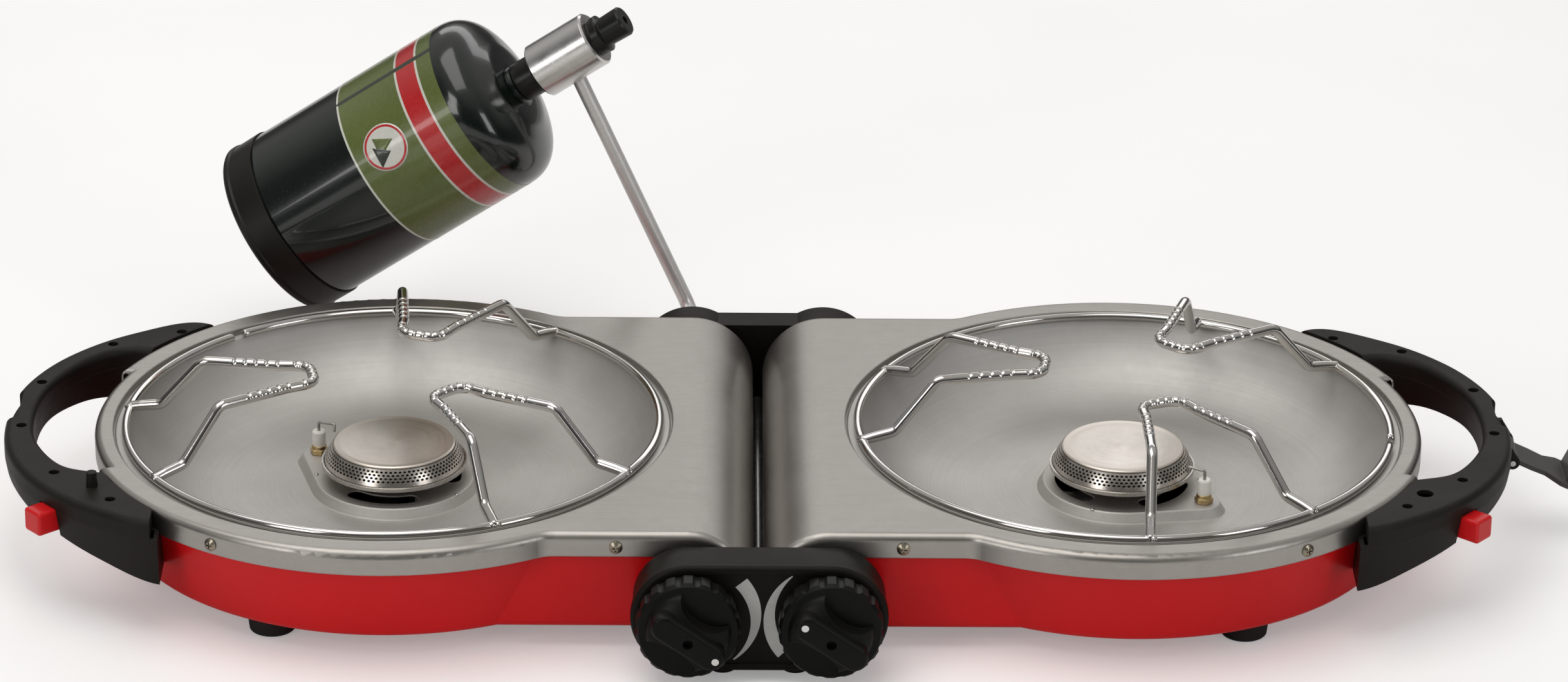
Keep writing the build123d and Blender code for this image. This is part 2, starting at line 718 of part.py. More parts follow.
# Profiles: (radius, height relative to the deck)
BURNER_BODY = [(0, -53.0), (10.5, -53.0), (10.5, -39.0), (13.6, -36.0), (13.6, -31.0),
               (24, -27.4), (BURNER_R - 1.0, -25.2), (BURNER_R, -24.4), (BURNER_R, -22.4),
               (BURNER_R - 1.1, -22.4), (BURNER_R - 1.1, -24.0), (24, -26.2), (12.4, -30.4),
               (12.4, -36.6), (9.3, -39.6), (9.3, -51.8), (0, -51.8)]
BURNER_RING = [(BURNER_R - 1.2, -22.3), (BURNER_R - 0.4, -22.3), (BURNER_R - 0.9, -20.6),
               (BURNER_R - 1.4, -20.0), (31.6, -14.2), (30.7, -14.2), (BURNER_R - 2.6, -20.0),
               (BURNER_R - 2.2, -22.3)]
BURNER_CAP = [(0, -13.9), (29.6, -14.15), (31.4, -14.15), (31.5, -13.4), (30.6, -12.9),
              (28.0, -13.0), (0, -12.7)]


def burner_body():
    with BuildPart() as body:
        add(turned(from_deck(BURNER_BODY)))
        # inlet for the mixer tube, towards the spine
        with BuildSketch(Plane.YZ):
            with Locations((0, MIXER_Z)):
                Circle(5.4)
        extrude(amount=12, mode=Mode.SUBTRACT)
    return at_left_bowl(body.part)


def mixer_tube():
    """Tube from the gas valve's jet to the burner."""
    with BuildPart() as tube:
        with BuildLine() as path:
            inlet = Line((-HINGE_X, -113, HINGE_Z), (-HINGE_X, -86, HINGE_Z))
            sweep_round = Spline(inlet @ 1,
                                 (-HINGE_X - 26, -44, HINGE_Z - 8.5),
                                 (-HINGE_X - 75, -15, MIXER_Z + 0.4),
                                 (-BOWL_X + 30, 0, MIXER_Z),
                                 tangents=((0, 1, 0), (-1, 0, 0)))
            Line(sweep_round @ 1, (-BOWL_X + 10.6, 0, MIXER_Z))
        with BuildSketch(Plane(origin=path.line @ 0, z_dir=(0, 1, 0))):
            Circle(6.4)
            Circle(5.5, mode=Mode.SUBTRACT)
        sweep()
    return tube.part


# ---------------------------------------------------------------- electrode and ignition lead
# (radius, height relative to the deck)
ELECTRODE = [(0, -45), (2.6, -45), (2.6, -34.2), (3.0, -33.4), (3.0, -27.6), (3.5, -27.2),
             (3.5, -20.0), (2.9, -19.2), (0, -19.2)]
ELECTRODE_AT = (-BOWL_X + ELECTRODE_X, ELECTRODE_Y)
ELECTRODE_OUT = 48.5   # electrode's distance from the bowl centre


def electrode():
    with BuildPart() as insulator:
        add(turned(from_deck(ELECTRODE)))
        with BuildSketch(at_z(DECK_Z - 50)):
            Circle(0.85)
        extrude(amount=40, mode=Mode.SUBTRACT)
    return Pos(*ELECTRODE_AT, 0) * insulator.part


def electrode_wire():
    """Wire up through the electrode, its tip bent towards the burner."""
    x, y = ELECTRODE_AT
    to_x, to_y = -ELECTRODE_X / ELECTRODE_OUT, -ELECTRODE_Y / ELECTRODE_OUT
    return bent_rod([(x, y, DECK_Z - 44),
                     (x, y, DECK_Z - 14.6),
                     (x + 9.4 * to_x - 1.5 * to_y, y + 9.4 * to_y + 1.5 * to_x, DECK_Z - 14.0),
                     (x + 9.9 * to_x, y + 9.9 * to_y, DECK_Z - 17.6)],
                    bend_radius=1.2, rod_radius=0.75)


def ignition_lead(angle):
    """From the igniter in the handle, through the shell at an angle, to the electrode."""
    return bent_rod([(*polar(166.1, angle, -BOWL_X), LEAD_Z),
                     (*polar(136, angle, -BOWL_X), LEAD_Z),
                     (*polar(122, angle, -BOWL_X), 18),
                     (*ELECTRODE_AT, 15.5),
                     (*ELECTRODE_AT, DECK_Z - 45.1)],
                    bend_radius=2.4, rod_radius=1.1)


# ---------------------------------------------------------------- pan supports
WIRE_R = 2.25
RING_R = 136.6
SUPPORT_TOP = 29.5     # wire centre height above the deck
# One leg of a U-shaped support, from the ring inwards:
# (distance from the bowl axis, half width, height above the deck)
SUPPORT_LEG = [(129.6, 44.4, 0.2), (114, 37.3, 2.9), (93.6, 28, SUPPORT_TOP),
               (57, 14.2, SUPPORT_TOP), (41.5, 10.5, SUPPORT_TOP)]
SUPPORT_U = SUPPORT_LEG + [(r, -w, z) for r, w, z in SUPPORT_LEG[::-1]]


def pan_support(first_angle, split_angle):
    """Split wire ring with three U-shaped supports welded to it."""
    with BuildPart() as support:
        with BuildLine() as ring:
            CenterArc((0, 0, DECK_Z - 0.4), RING_R, split_angle + 0.8, 358.4)
        with BuildSketch(Plane(origin=ring.line @ 0, z_dir=ring.line % 0)):
            Circle(WIRE_R)
        sweep()
        for k in range(3):
            angle = radians(first_angle + 120 * k)
            out_x, out_y = cos(angle), sin(angle)
            points = [(r * out_x - w * out_y, r * out_y + w * out_x, DECK_Z + z)
                      for r, w, z in SUPPORT_U]
            add(bent_rod(points, bend_radius=6.0, rod_radius=WIRE_R))
    return support.part


# ---------------------------------------------------------------- spine
LOBE_R = 28.5          # housing and panel lobes about the hinge axes
HINGES = [(-HINGE_X, HINGE_Z), (HINGE_X, HINGE_Z)]            # (x, z)
PANEL_SCREWS = [(-14, 50), (14, 50), (-14, 17), (14, 17)]     # (x, z)
PANEL_BACK_Y = -Y_END - 19.05
TUBE_Z = 12.5          # manifold tube height along the spine
TUBE_HOLE_R = 4.3


def stadium(radius):
    """Upright round-ended outline about the two hinge axes."""
    with BuildSketch(mode=Mode.PRIVATE) as outline:
        with Locations(*HINGES):
            Circle(radius)
        with Locations((0, HINGE_Z)):
            Rectangle(2 * HINGE_X, 2 * radius)
    return outline.sketch


def spine_beam():
    with BuildPart() as beam:
        with BuildSketch(at_y(Y_END)):
            with Locations((0, 6.5)):
                Rectangle(30, 5.0)
            with Locations(*HINGES):
                Circle(ROLL_R + 0.9, mode=Mode.SUBTRACT)
            with Locations((0, TUBE_Z)):
                Circle(TUBE_HOLE_R, mode=Mode.SUBTRACT)
        extrude(amount=2 * Y_END)
        with BuildSketch(at_z(2)):
            with GridLocations(0, 44, 1, 5):
                SlotOverall(30, 5, rotation=90)
        extrude(amount=12, mode=Mode.SUBTRACT)
    return beam.part


def front_housing():
    with BuildPart() as housing:
        with BuildSketch(at_y(-Y_END)):
            add(stadium(LOBE_R - 1.0))
        extrude(amount=19.0)
        with BuildSketch(at_y(-Y_END - 2.5)):
            add(stadium(LOBE_R - 3.2))
        extrude(amount=30.0, mode=Mode.SUBTRACT)
        # hinge bosses
        with BuildSketch(at_y(-Y_END + 17.0)):
            with Locations(*HINGES):
                Circle(HINGE_BOSS_R)
        extrude(amount=18.0)
        # holes for the valves and the manifold tube
        with BuildSketch(at_y(-Y_END + 20.0)):
            with Locations(*HINGES):
                Circle(6.6)
            with Locations((0, TUBE_Z)):
                Circle(TUBE_HOLE_R)
        extrude(amount=30.0, mode=Mode.SUBTRACT)
        # panel screw posts
        with BuildSketch(at_y(-Y_END - 1)):
            with Locations(*PANEL_SCREWS):
                Circle(4.0)
        extrude(amount=18.0)
        with BuildSketch(at_y(-Y_END + 1)):
            with Locations(*PANEL_SCREWS):
                Circle(1.3)
        extrude(amount=22.0, mode=Mode.SUBTRACT)
    return housing.part


def control_panel():
    with BuildPart() as panel:
        with BuildSketch(at_y(PANEL_BACK_Y)):
            add(stadium(LOBE_R))
        extrude(amount=PANEL_BACK_Y - PANEL_Y)
        front = panel.faces().sort_by(Axis.Y)[0]
        fillet(front.edges(), 2.4)
        # shallow recess in the front face
        with BuildSketch(at_y(PANEL_Y + 1.2)):
            add(stadium(LOBE_R - 4.0))
        extrude(amount=3.0, mode=Mode.SUBTRACT)
        with BuildSketch(at_y(-Y_END - 15)):
            with Locations(*HINGES):
                Circle(4.5)
        extrude(amount=20.0, mode=Mode.SUBTRACT)
        # blind screw holes in the back
        with BuildSketch(at_y(-Y_END - 15)):
            with Locations(*PANEL_SCREWS):
                Circle(1.3)
        extrude(amount=7.0, mode=Mode.SUBTRACT)
    return panel.part


def rear_housing():
    """Extrusions with a negative amount run rearwards."""
    with BuildPart() as housing:
        with BuildSketch(at_y(Y_END)):
            add(stadium(LOBE_R - 3.5))
            with Locations(*HINGES):
                Circle(LOBE_R)
        extrude(amount=-18.0)
        fillet(housing.faces().sort_by(Axis.Y)[-1].edges(), 1.5)
        with BuildSketch(at_y(Y_END + 2.5)):
            add(stadium(LOBE_R - 5.7))
            with Locations((0, 14)):
                Rectangle(11, 13.5)
        extrude(amount=-13.0, mode=Mode.SUBTRACT)
        # hinge bosses
        with BuildSketch(at_y(Y_END - 17.0)):
            with Locations(*HINGES):
                Circle(HINGE_BOSS_R)
        extrude(amount=-18.0)
        with BuildSketch(at_y(Y_END - 20.0)):
            with Locations(*HINGES):
                Circle(5.0)
            with Locations((0, TUBE_Z)):
                Circle(TUBE_HOLE_R)
        extrude(amount=-24.0, mode=Mode.SUBTRACT)
        # hole for the gas inlet port
        with BuildSketch(at_y(Y_END + 14.0)):
            with Locations(HINGES[0]):
                Circle(7.1)
        extrude(amount=-8.0, mode=Mode.SUBTRACT)
    return housing.part


def spine_feet():
    """Two round feet in front, a slot-shaped one behind and a pad in the middle."""
    housing_bottom = HINGE_Z - LOBE_R
    with BuildPart() as pads:
        with BuildSketch(Plane.XY):
            with Locations((-18, -148), (18, -148)):
                Circle(6.5)
        extrude(amount=housing_bottom + 1.0)
        with BuildSketch(Plane.XY):
            with Locations((0, 147)):
                SlotOverall(26, 10)
        extrude(amount=housing_bottom + 1.9)
        with BuildSketch(Plane.XY):
            Rectangle(16, 120)
        extrude(amount=4.0)
    return pads.part


def spine_screws():
    """The four screws that hold the control panel."""
    with BuildPart() as screws:
        for radius, length in ((2.6, 1.48), (1.25, 22.5)):
            with BuildSketch(at_y(-Y_END + 1.5)):
                with Locations(*PANEL_SCREWS):
                    Circle(radius)
            extrude(amount=length)
    return screws.part


# ---------------------------------------------------------------- gas line in the spine
MANIFOLD_FRONT, MANIFOLD_REAR = -148.0, 148.0   # y of the crossing tubes
STEM_R = 3.0           # valve stem
# Profiles about the hinge axes: (radius, y)
VALVE = [(0, -178.5), (STEM_R, -178.5), (STEM_R, -161.0), (4.2, -161.0), (4.2, -157.0),
         (8.0, -157.0), (8.0, -142.0), (6.3, -141.5), (6.3, -120.0), (3.2, -118.5),
         (2.4, -109.0), (0, -109.0)]
INLET_PORT = [(0, 141.5), (8.0, 141.5), (8.0, 152.0), (7.0, 152.0), (7.0, 176.0),
              (6.2, 177.0), (4.1, 177.0), (4.1, 158.0), (2.0, 158.0), (2.0, 150.0),
              (0, 150.0)]


def manifold_tube():
    """From the inlet port, under the spine, up to the bar between the two valves."""
    bar_x = -HINGE_X + 8.05
    with BuildPart() as tube:
        add(bent_rod([(-HINGE_X + 8.0, MANIFOLD_REAR, HINGE_Z), (0, MANIFOLD_REAR, HINGE_Z),
                      (0, MANIFOLD_REAR, TUBE_Z), (0, MANIFOLD_FRONT, TUBE_Z),
                      (0, MANIFOLD_FRONT, HINGE_Z)],
                     bend_radius=7.5, rod_radius=4.0))
        with BuildSketch(Plane.YZ.offset(bar_x)):
            with Locations((MANIFOLD_FRONT, HINGE_Z)):
                Circle(5.0)
        extrude(amount=-2 * bar_x)
    return tube.part


def gas_valve():
    with BuildPart() as valve:
        add(turned_about_y(VALVE))
        # jet bore
        with BuildSketch(at_y(1)):
            Circle(0.6)
        extrude(amount=118, mode=Mode.SUBTRACT)
    return valve.part


# ---------------------------------------------------------------- knobs
KNOB_BACK = PANEL_Y - 1.2
KNOB_FACE = -190.5     # front of the grip bar
KNOB_BORE_R = 3.05
GRIP_ANGLE = radians(-35)


def knob():
    bar_y = KNOB_BACK - 10
    with BuildPart() as body:
        with BuildSketch(Plane.XY):
            with BuildLine():
                rim = Polyline((0, KNOB_BACK), (23.5, KNOB_BACK), (25.8, KNOB_BACK - 1.8),
                               (25.8, KNOB_BACK - 10.5), (24.2, KNOB_BACK - 12.4),
                               (21.2, KNOB_BACK - 12.8))
                dome = Spline(rim @ 1, (18.5, KNOB_BACK - 17.0), (12.0, KNOB_BACK - 20.6),
                              (0, KNOB_BACK - 22.2), tangents=((-0.1, -1), (-1, 0)))
                Line(dome @ 1, rim @ 0)
            make_face()
        revolve(axis=Axis.Y)
        # flutes around the rim
        with BuildSketch(at_y(KNOB_BACK + 1)):
            with PolarLocations(27.6, 18):
                Circle(2.9)
        extrude(amount=14.5, mode=Mode.SUBTRACT)
        # diagonal grip bar with a finger hollow each side
        bar = Plane(origin=(0, bar_y, 0), x_dir=(cos(GRIP_ANGLE), 0, sin(GRIP_ANGLE)),
                    z_dir=(0, -1, 0))
        with BuildSketch(bar):
            SlotOverall(41, 13.5)
        extrude(amount=bar_y - KNOB_FACE)
        fillet(body.faces().sort_by(Axis.Y)[0].edges(), 2.2)
        with BuildSketch(bar.offset(2.5)):
            for side in (-1, 1):
                with Locations((0, side * 16.2)):
                    Ellipse(14.5, 8.2)
        extrude(amount=20, mode=Mode.SUBTRACT)
        # stem bore from the back, and a smaller hole from the front
        with BuildSketch(at_y(KNOB_BACK + 1)):
            Circle(KNOB_BORE_R)
        extrude(amount=16.2, mode=Mode.SUBTRACT)
        with BuildSketch(at_y(KNOB_FACE + 4)):
            Circle(2.6)
        extrude(amount=6, mode=Mode.SUBTRACT)
    return body.part


# ---------------------------------------------------------------- regulator arm
# The regulator and the cylinder share one sloping axis, measured from the cylinder's base.
ARM_Y = 208.0          # plane of the regulator arm behind the stove
REGULATOR_X, REGULATOR_Z = -103.0, DECK_Z + 120.0
REGULATOR_ALONG = 195.6                # regulator centre along the axis
ELEVATION = radians(35.0)
YAW = radians(6.5)                     # swing towards the front at the cylinder's neck
AXIS_DIR = (cos(ELEVATION) * cos(YAW), -sin(YAW), sin(ELEVATION) * cos(YAW))
BASE = (REGULATOR_X - REGULATOR_ALONG * AXIS_DIR[0],
        ARM_Y - REGULATOR_ALONG * AXIS_DIR[1],
        REGULATOR_Z - REGULATOR_ALONG * AXIS_DIR[2])
CYLINDER_PLANE = Plane(origin=BASE, x_dir=(sin(YAW), cos(YAW), 0), z_dir=AXIS_DIR)
# Profiles: (radius, distance along the cylinder axis)
REGULATOR_BODY = [(8.0, 177.0), (14.2, 177.0), (15.25, 178.0), (15.25, 213.2), (14.2, 214.2),
                  (6.0, 214.2), (6.0, 196.0), (8.0, 194.0)]
REGULATOR_COLLAR = [(8.55, 164.2), (10.4, 164.2), (11.0, 165.0), (11.0, 176.95),
                    (8.55, 176.95)]
REGULATOR_CAP = [(0, 214.25), (10.3, 214.25), (10.6, 215.0), (10.6, 219.5), (8.0, 220.5),
                 (8.4, 232.6), (7.6, 233.7), (2.5, 233.7), (2.5, 231.5), (0, 231.5)]
# Profile about the inlet port's axis: (radius, y)
CONNECTOR = [(7.05, 159.0), (10.0, 159.0), (10.8, 160.0), (10.8, 175.0), (9.0, 178.5),
             (6.5, 187.0), (4.02, 187.0), (4.02, 177.6), (7.05, 177.6)]


def on_cylinder_axis(points):
    """Solid of revolution about the cylinder axis."""
    return CYLINDER_PLANE * turned(points)


def arm_tube():
    """Tube from the inlet port to the regulator, cut away where the regulator sits."""
    with BuildPart() as tube:
        add(bent_rod([(-HINGE_X, 165.0, HINGE_Z), (-HINGE_X, ARM_Y, HINGE_Z),
                      (REGULATOR_X, ARM_Y, REGULATOR_Z)],
                     bend_radius=13, rod_radius=4.0))
        low, high = REGULATOR_ALONG - 30, REGULATOR_ALONG + 30
        add(on_cylinder_axis([(0, low), (15.3, low), (15.3, high), (0, high)]),
            mode=Mode.SUBTRACT)
    return tube.part


def arm_connector():
    with BuildPart() as connector:
        add(turned_about_y(CONNECTOR))
        # grip flutes
        with BuildSketch(at_y(158)):
            with PolarLocations(11.6, 12):
                Circle(1.5)
        extrude(amount=-16, mode=Mode.SUBTRACT)
    return connector.part


# ---------------------------------------------------------------- gas cylinder
CYLINDER_R = 49.2
# Profiles: (radius, distance along the cylinder axis)
CYLINDER_SIDE = [(0, 9.0), (34, 7.0), (CYLINDER_R - 4.0, 10.5), (CYLINDER_R - 0.6, 16.5),
                 (CYLINDER_R - 0.6, 19.0), (CYLINDER_R, 19.6), (CYLINDER_R, 140.0)]
CYLINDER_SHOULDER = [(47.6, 148.5), (41.0, 156.0), (28.0, 160.8), (13.0, 162.4)]
CYLINDER_BOOT = [(CYLINDER_R - 3.0, 0.6), (CYLINDER_R - 2.0, 0), (CYLINDER_R + 0.6, 0),
                 (CYLINDER_R + 1.4, 1.0), (CYLINDER_R + 1.4, 3.0), (CYLINDER_R + 0.7, 4.0),
                 (CYLINDER_R + 0.9, 18.6), (CYLINDER_R - 0.55, 18.6),
                 (CYLINDER_R - 0.55, 16.4), (CYLINDER_R - 3.95, 10.4), (36.0, 7.3),
                 (36.0, 5.3), (CYLINDER_R - 4.0, 8.0)]
CYLINDER_VALVE = [(0, 163.95), (8.0, 163.95), (8.5, 164.6), (8.5, 176.0), (7.6, 177.0),
                  (7.6, 184.0), (2.0, 184.0), (2.0, 180.0), (0, 180.0)]


def cylinder_body():
    with BuildPart() as cylinder:
        with BuildSketch(Plane.XZ):
            with BuildLine():
                side = Polyline(*CYLINDER_SIDE)
                shoulder = Spline(side @ 1, *CYLINDER_SHOULDER, tangents=((0, 1), (-1, 0.02)))
                Polyline(shoulder @ 1, (10.6, 162.6), (10.6, 163.9), (0, 163.9), (0, 9.0))
            make_face()
        revolve(axis=Axis.Z)
    return CYLINDER_PLANE * cylinder.part


# ---------------------------------------------------------------- gather and write every piece
upper_blank = handle_upper_blank()
lower_left = handle_lower_left()
valve_part = gas_valve()
knob_part = knob()
left_hinge = Pos(-HINGE_X, 0, HINGE_Z)
right_hinge = Pos(HINGE_X, 0, HINGE_Z)

# Left pieces whose right-hand piece is the same one turned half a turn
spun_pieces = {
    "top_plate": top_plate(),
    "drip_bowl": drip_bowl(),
    "feet": feet(),
    "skirt_screws": skirt_screws(),
    "hinge_brackets": hinge_brackets(),
    "burner_body": burner_body(),
    "burner_ring": at_left_bowl(turned(from_deck(BURNER_RING))),
    "burner_cap": at_left_bowl(turned(from_deck(BURNER_CAP))),
    "electrode": electrode(),
    "electrode_wire": electrode_wire(),
}
# Left pieces whose right-hand piece is a mirror image
mirrored_pieces = {
    "handle_screws": handle_screws(),
    "igniter_button": igniter_button(),
    "igniter_unit": igniter_unit(),
    "mixer_tube": mixer_tube(),
}
pieces = {
    # the right-hand lead passes through the front too, so it is drawn at the rear and spun
    "lower_shell_left": lower_shell(LEAD_ANGLE),
    "lower_shell_right": spin(lower_shell(-LEAD_ANGLE)),
    "ignition_lead_left": ignition_lead(LEAD_ANGLE),
    "ignition_lead_right": spin(ignition_lead(-LEAD_ANGLE)),
    "handle_upper_left": handle_upper_left(upper_blank),
    "handle_upper_right": handle_upper_right(upper_blank),
    "handle_lower_left": lower_left,
    "handle_lower_right": handle_lower_right(mirrored(lower_left)),
    "latch_hook": latch_hook(),
    "latch_pin": latch_pin(),
    "pan_support_left": at_left_bowl(pan_support(73.3, 130.0)),
    "pan_support_right": Pos(BOWL_X, 0, 0) * pan_support(51.0, -9.0),
    "spine_beam": spine_beam(),
    "front_housing": front_housing(),
    "control_panel": control_panel(),
    "rear_housing": rear_housing(),
    "spine_feet": spine_feet(),
    "spine_screws": spine_screws(),
    "manifold_tube": manifold_tube(),
    "gas_valve_left": left_hinge * valve_part,
    "gas_valve_right": right_hinge * valve_part,
    "gas_inlet_port": left_hinge * turned_about_y(INLET_PORT),
    "knob_left": left_hinge * knob_part,
    "knob_right": right_hinge * knob_part,
    "arm_tube": arm_tube(),
    "arm_connector": left_hinge * arm_connector(),
    "regulator_body": on_cylinder_axis(REGULATOR_BODY),
    "regulator_collar": on_cylinder_axis(REGULATOR_COLLAR),
    "regulator_cap": on_cylinder_axis(REGULATOR_CAP),
    "cylinder_body": cylinder_body(),
    "cylinder_boot": on_cylinder_axis(CYLINDER_BOOT),
    "cylinder_valve": on_cylinder_axis(CYLINDER_VALVE),
}
for opposite, group in ((spin, spun_pieces), (mirrored, mirrored_pieces)):
    for name, part in group.items():
        pieces[f"{name}_left"] = part
        pieces[f"{name}_right"] = opposite(part)

for label, part in pieces.items():
    part.label = label
    export_step(part, f"parts/{label}.step")
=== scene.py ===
"""Folding two-burner gas stove with a screw-on gas cylinder.

Two deck halves, each with a drip bowl, burner and wire pan support, flank a spine that
carries the control panel. +Z is up and the control panel faces -Y, towards the camera.
Shapes are worked out in mm and scaled to metres when their meshes are made.
"""
import json
import math
import bpy
import bmesh
from math import sin, cos, radians, pi, sqrt, atan2, exp
from mathutils import Vector, Matrix


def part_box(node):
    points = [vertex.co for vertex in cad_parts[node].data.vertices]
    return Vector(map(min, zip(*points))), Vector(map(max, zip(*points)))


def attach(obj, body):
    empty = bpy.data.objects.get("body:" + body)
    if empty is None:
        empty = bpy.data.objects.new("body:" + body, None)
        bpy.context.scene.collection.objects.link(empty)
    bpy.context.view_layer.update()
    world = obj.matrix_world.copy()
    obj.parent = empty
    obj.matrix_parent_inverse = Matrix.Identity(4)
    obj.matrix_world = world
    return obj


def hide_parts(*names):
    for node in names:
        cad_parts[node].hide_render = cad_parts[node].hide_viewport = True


MILLI = 0.001           # metres in a millimetre
SIDES = ("left", "right")

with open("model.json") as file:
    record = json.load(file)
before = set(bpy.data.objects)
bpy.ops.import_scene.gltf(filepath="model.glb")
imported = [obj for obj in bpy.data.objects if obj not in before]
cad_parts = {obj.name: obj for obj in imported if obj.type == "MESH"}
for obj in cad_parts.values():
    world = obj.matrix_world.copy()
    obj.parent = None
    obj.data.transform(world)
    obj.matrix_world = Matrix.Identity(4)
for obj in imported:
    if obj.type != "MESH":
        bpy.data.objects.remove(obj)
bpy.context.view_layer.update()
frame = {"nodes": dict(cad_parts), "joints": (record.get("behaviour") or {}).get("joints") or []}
scene = bpy.context.scene


def middle_of(node):
    """Centre of a CAD piece's box, in mm."""
    low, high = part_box(node)
    return tuple((a + b) / 2 / MILLI for a, b in zip(low, high))


DECK_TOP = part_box("top_plate_left")[1].z / MILLI
BOWLS = {side: middle_of("drip_bowl_" + side)[:2] for side in SIDES}

# Cylinder axis, pointing from the base to the neck
joints = {joint["name"]: joint for joint in frame["joints"]}
CAN_AXIS = Vector(joints["cylinder_unscrew"]["axis"]).normalized() * -1.0


# ------------------------------------------------------------------ shader node helpers
class NodeTree:
    """The emptied node tree of a material or world, with helpers that add nodes."""

    def __init__(self, owner):
        owner.use_nodes = True
        self.tree = owner.node_tree
        self.tree.nodes.clear()

    def node(self, kind, **settings):
        node = self.tree.nodes.new(kind)
        for key, value in settings.items():
            setattr(node, key, value)
        return node

    def put(self, socket, value):
        """Link a socket, or set a value; a three-part colour gets an alpha of 1."""
        if isinstance(value, bpy.types.NodeSocket):
            self.tree.links.new(value, socket)
        elif hasattr(value, "__len__") and len(value) == 3 and len(socket.default_value) == 4:
            socket.default_value = (*value, 1.0)
        else:
            socket.default_value = value

    def fill(self, node, values):
        for socket, value in zip(node.inputs, values):
            self.put(socket, value)

    def calc(self, operation, first, second=0.0, third=0.0):
        node = self.node("ShaderNodeMath", operation=operation)
        self.fill(node, (first, second, third))
        return node.outputs[0]

    def add(self, first, second):
        return self.calc("ADD", first, second)

    def times(self, value, gain):
        return self.calc("MULTIPLY", value, gain)

    def remap(self, value, span=(0.3, 0.7), to=(0.0, 1.0)):
        """Carry the range span onto the range to, clamped."""
        node = self.node("ShaderNodeMapRange", clamp=True)
        self.fill(node, (value, *span, *to))
        return node.outputs[0]

    def mix(self, amount, base, over):
        node = self.node("ShaderNodeMix", data_type="RGBA", blend_type="MIX")
        self.put(node.inputs[0], amount)
        self.put(node.inputs[6], base)
        self.put(node.inputs[7], over)
        return node.outputs[2]

    def layer(self, where, base, over, span=(0.3, 0.7), to=(0.0, 1.0)):
        """Lay a colour over a base where a pattern is high."""
        return self.mix(self.remap(where, span, to), base, over)

    def split(self, vector):
        node = self.node("ShaderNodeSeparateXYZ")
        self.put(node.inputs[0], vector)
        return node.outputs

    def combine(self, x, y=0.0, z=0.0):
        node = self.node("ShaderNodeCombineXYZ")
        self.fill(node, (x, y, z))
        return node.outputs[0]


class Material(NodeTree):
    """A Principled material whose patterns are measured in mm of object space."""

    def __init__(self, name):
        self.data = bpy.data.materials.new(name)
        super().__init__(self.data)
        output = self.node("ShaderNodeOutputMaterial")
        self.shader = self.node("ShaderNodeBsdfPrincipled")
        self.put(output.inputs["Surface"], self.shader.outputs["BSDF"])
        coords = self.node("ShaderNodeTexCoord")
        scale = self.node("ShaderNodeVectorMath", operation="SCALE")
        self.put(scale.inputs[0], coords.outputs["Object"])
        scale.inputs["Scale"].default_value = 1000.0
        self.point = scale.outputs[0]
        self.own_normal = coords.outputs["Normal"]

    def set(self, **values):
        for key, value in values.items():
            self.put(self.shader.inputs[key.replace("_", " ")], value)

    def vector(self, operation, first, second):
        node = self.node("ShaderNodeVectorMath", operation=operation)
        self.put(node.inputs[0], first)
        self.put(node.inputs[1], second)
        return node.outputs["Value" if operation == "DOT_PRODUCT" else 0]

    def stretch(self, factors):
        return self.vector("MULTIPLY", self.point, factors)

    def noise(self, scale, detail, rough, within=None, warp=0.0):
        """Noise with features of about 1/scale mm."""
        node = self.node("ShaderNodeTexNoise")
        self.put(node.inputs["Vector"], self.point if within is None else within)
        node.inputs["Scale"].default_value = scale
        node.inputs["Detail"].default_value = detail
        node.inputs["Roughness"].default_value = rough
        node.inputs["Distortion"].default_value = warp
        return node.outputs["Fac"]

    def voronoi(self, scale):
        node = self.node("ShaderNodeTexVoronoi", feature="F1")
        self.put(node.inputs["Vector"], self.point)
        node.inputs["Scale"].default_value = scale
        return node.outputs["Distance"]

    def polar(self, centre, turn_scale, stretch):
        """Stretched (radius, scaled sine, scaled cosine) about an upright axis; and the radius."""
        x, y, z = self.split(self.vector("SUBTRACT", self.point, (*centre, 0.0)))
        radius = self.calc("SQRT", self.add(self.times(x, x), self.times(y, y)))
        angle = self.calc("ARCTAN2", y, x)
        spiral = self.combine(radius, self.times(self.calc("SINE", angle), turn_scale),
                              self.times(self.calc("COSINE", angle), turn_scale))
        return self.vector("MULTIPLY", spiral, stretch), radius

    def edges(self, radius, span):
        """Rounded normal, and a mask that is 1 on sharp edges."""
        bevel = self.node("ShaderNodeBevel", samples=4)
        bevel.inputs["Radius"].default_value = radius * MILLI
        geometry = self.node("ShaderNodeNewGeometry")
        match = self.vector("DOT_PRODUCT", bevel.outputs[0], geometry.outputs["True Normal"])
        return bevel.outputs[0], self.remap(self.calc("SUBTRACT", 1.0, match), span)

    def bump(self, height, depth, normal=None):
        """Relief of the given depth in mm, on the rounded normal if there is one."""
        node = self.node("ShaderNodeBump")
        node.inputs["Strength"].default_value = 1.0
        node.inputs["Distance"].default_value = depth * MILLI
        self.put(node.inputs["Height"], height)
        if normal is not None:
            self.put(node.inputs["Normal"], normal)
        self.set(Normal=node.outputs[0])

    def spun_sheen(self, amount):
        """Highlights stretched as on metal spun about Z."""
        tangent = self.node("ShaderNodeTangent", direction_type="RADIAL", axis="Z")
        self.set(Tangent=tangent.outputs[0], Anisotropic=amount)

    def brushed_sheen(self, amount, direction):
        """Highlights stretched along one direction of the object."""
        turn = self.node("ShaderNodeVectorTransform", vector_type="VECTOR",
                         convert_from="OBJECT", convert_to="WORLD")
        self.put(turn.inputs[0], self.combine(*direction))
        self.set(Tangent=turn.outputs[0], Anisotropic=amount)


def scaled(colour, factor):
    return tuple(factor * part for part in colour)


def brighter(colour, factor):
    return tuple(min(1.0, factor * part) for part in colour)


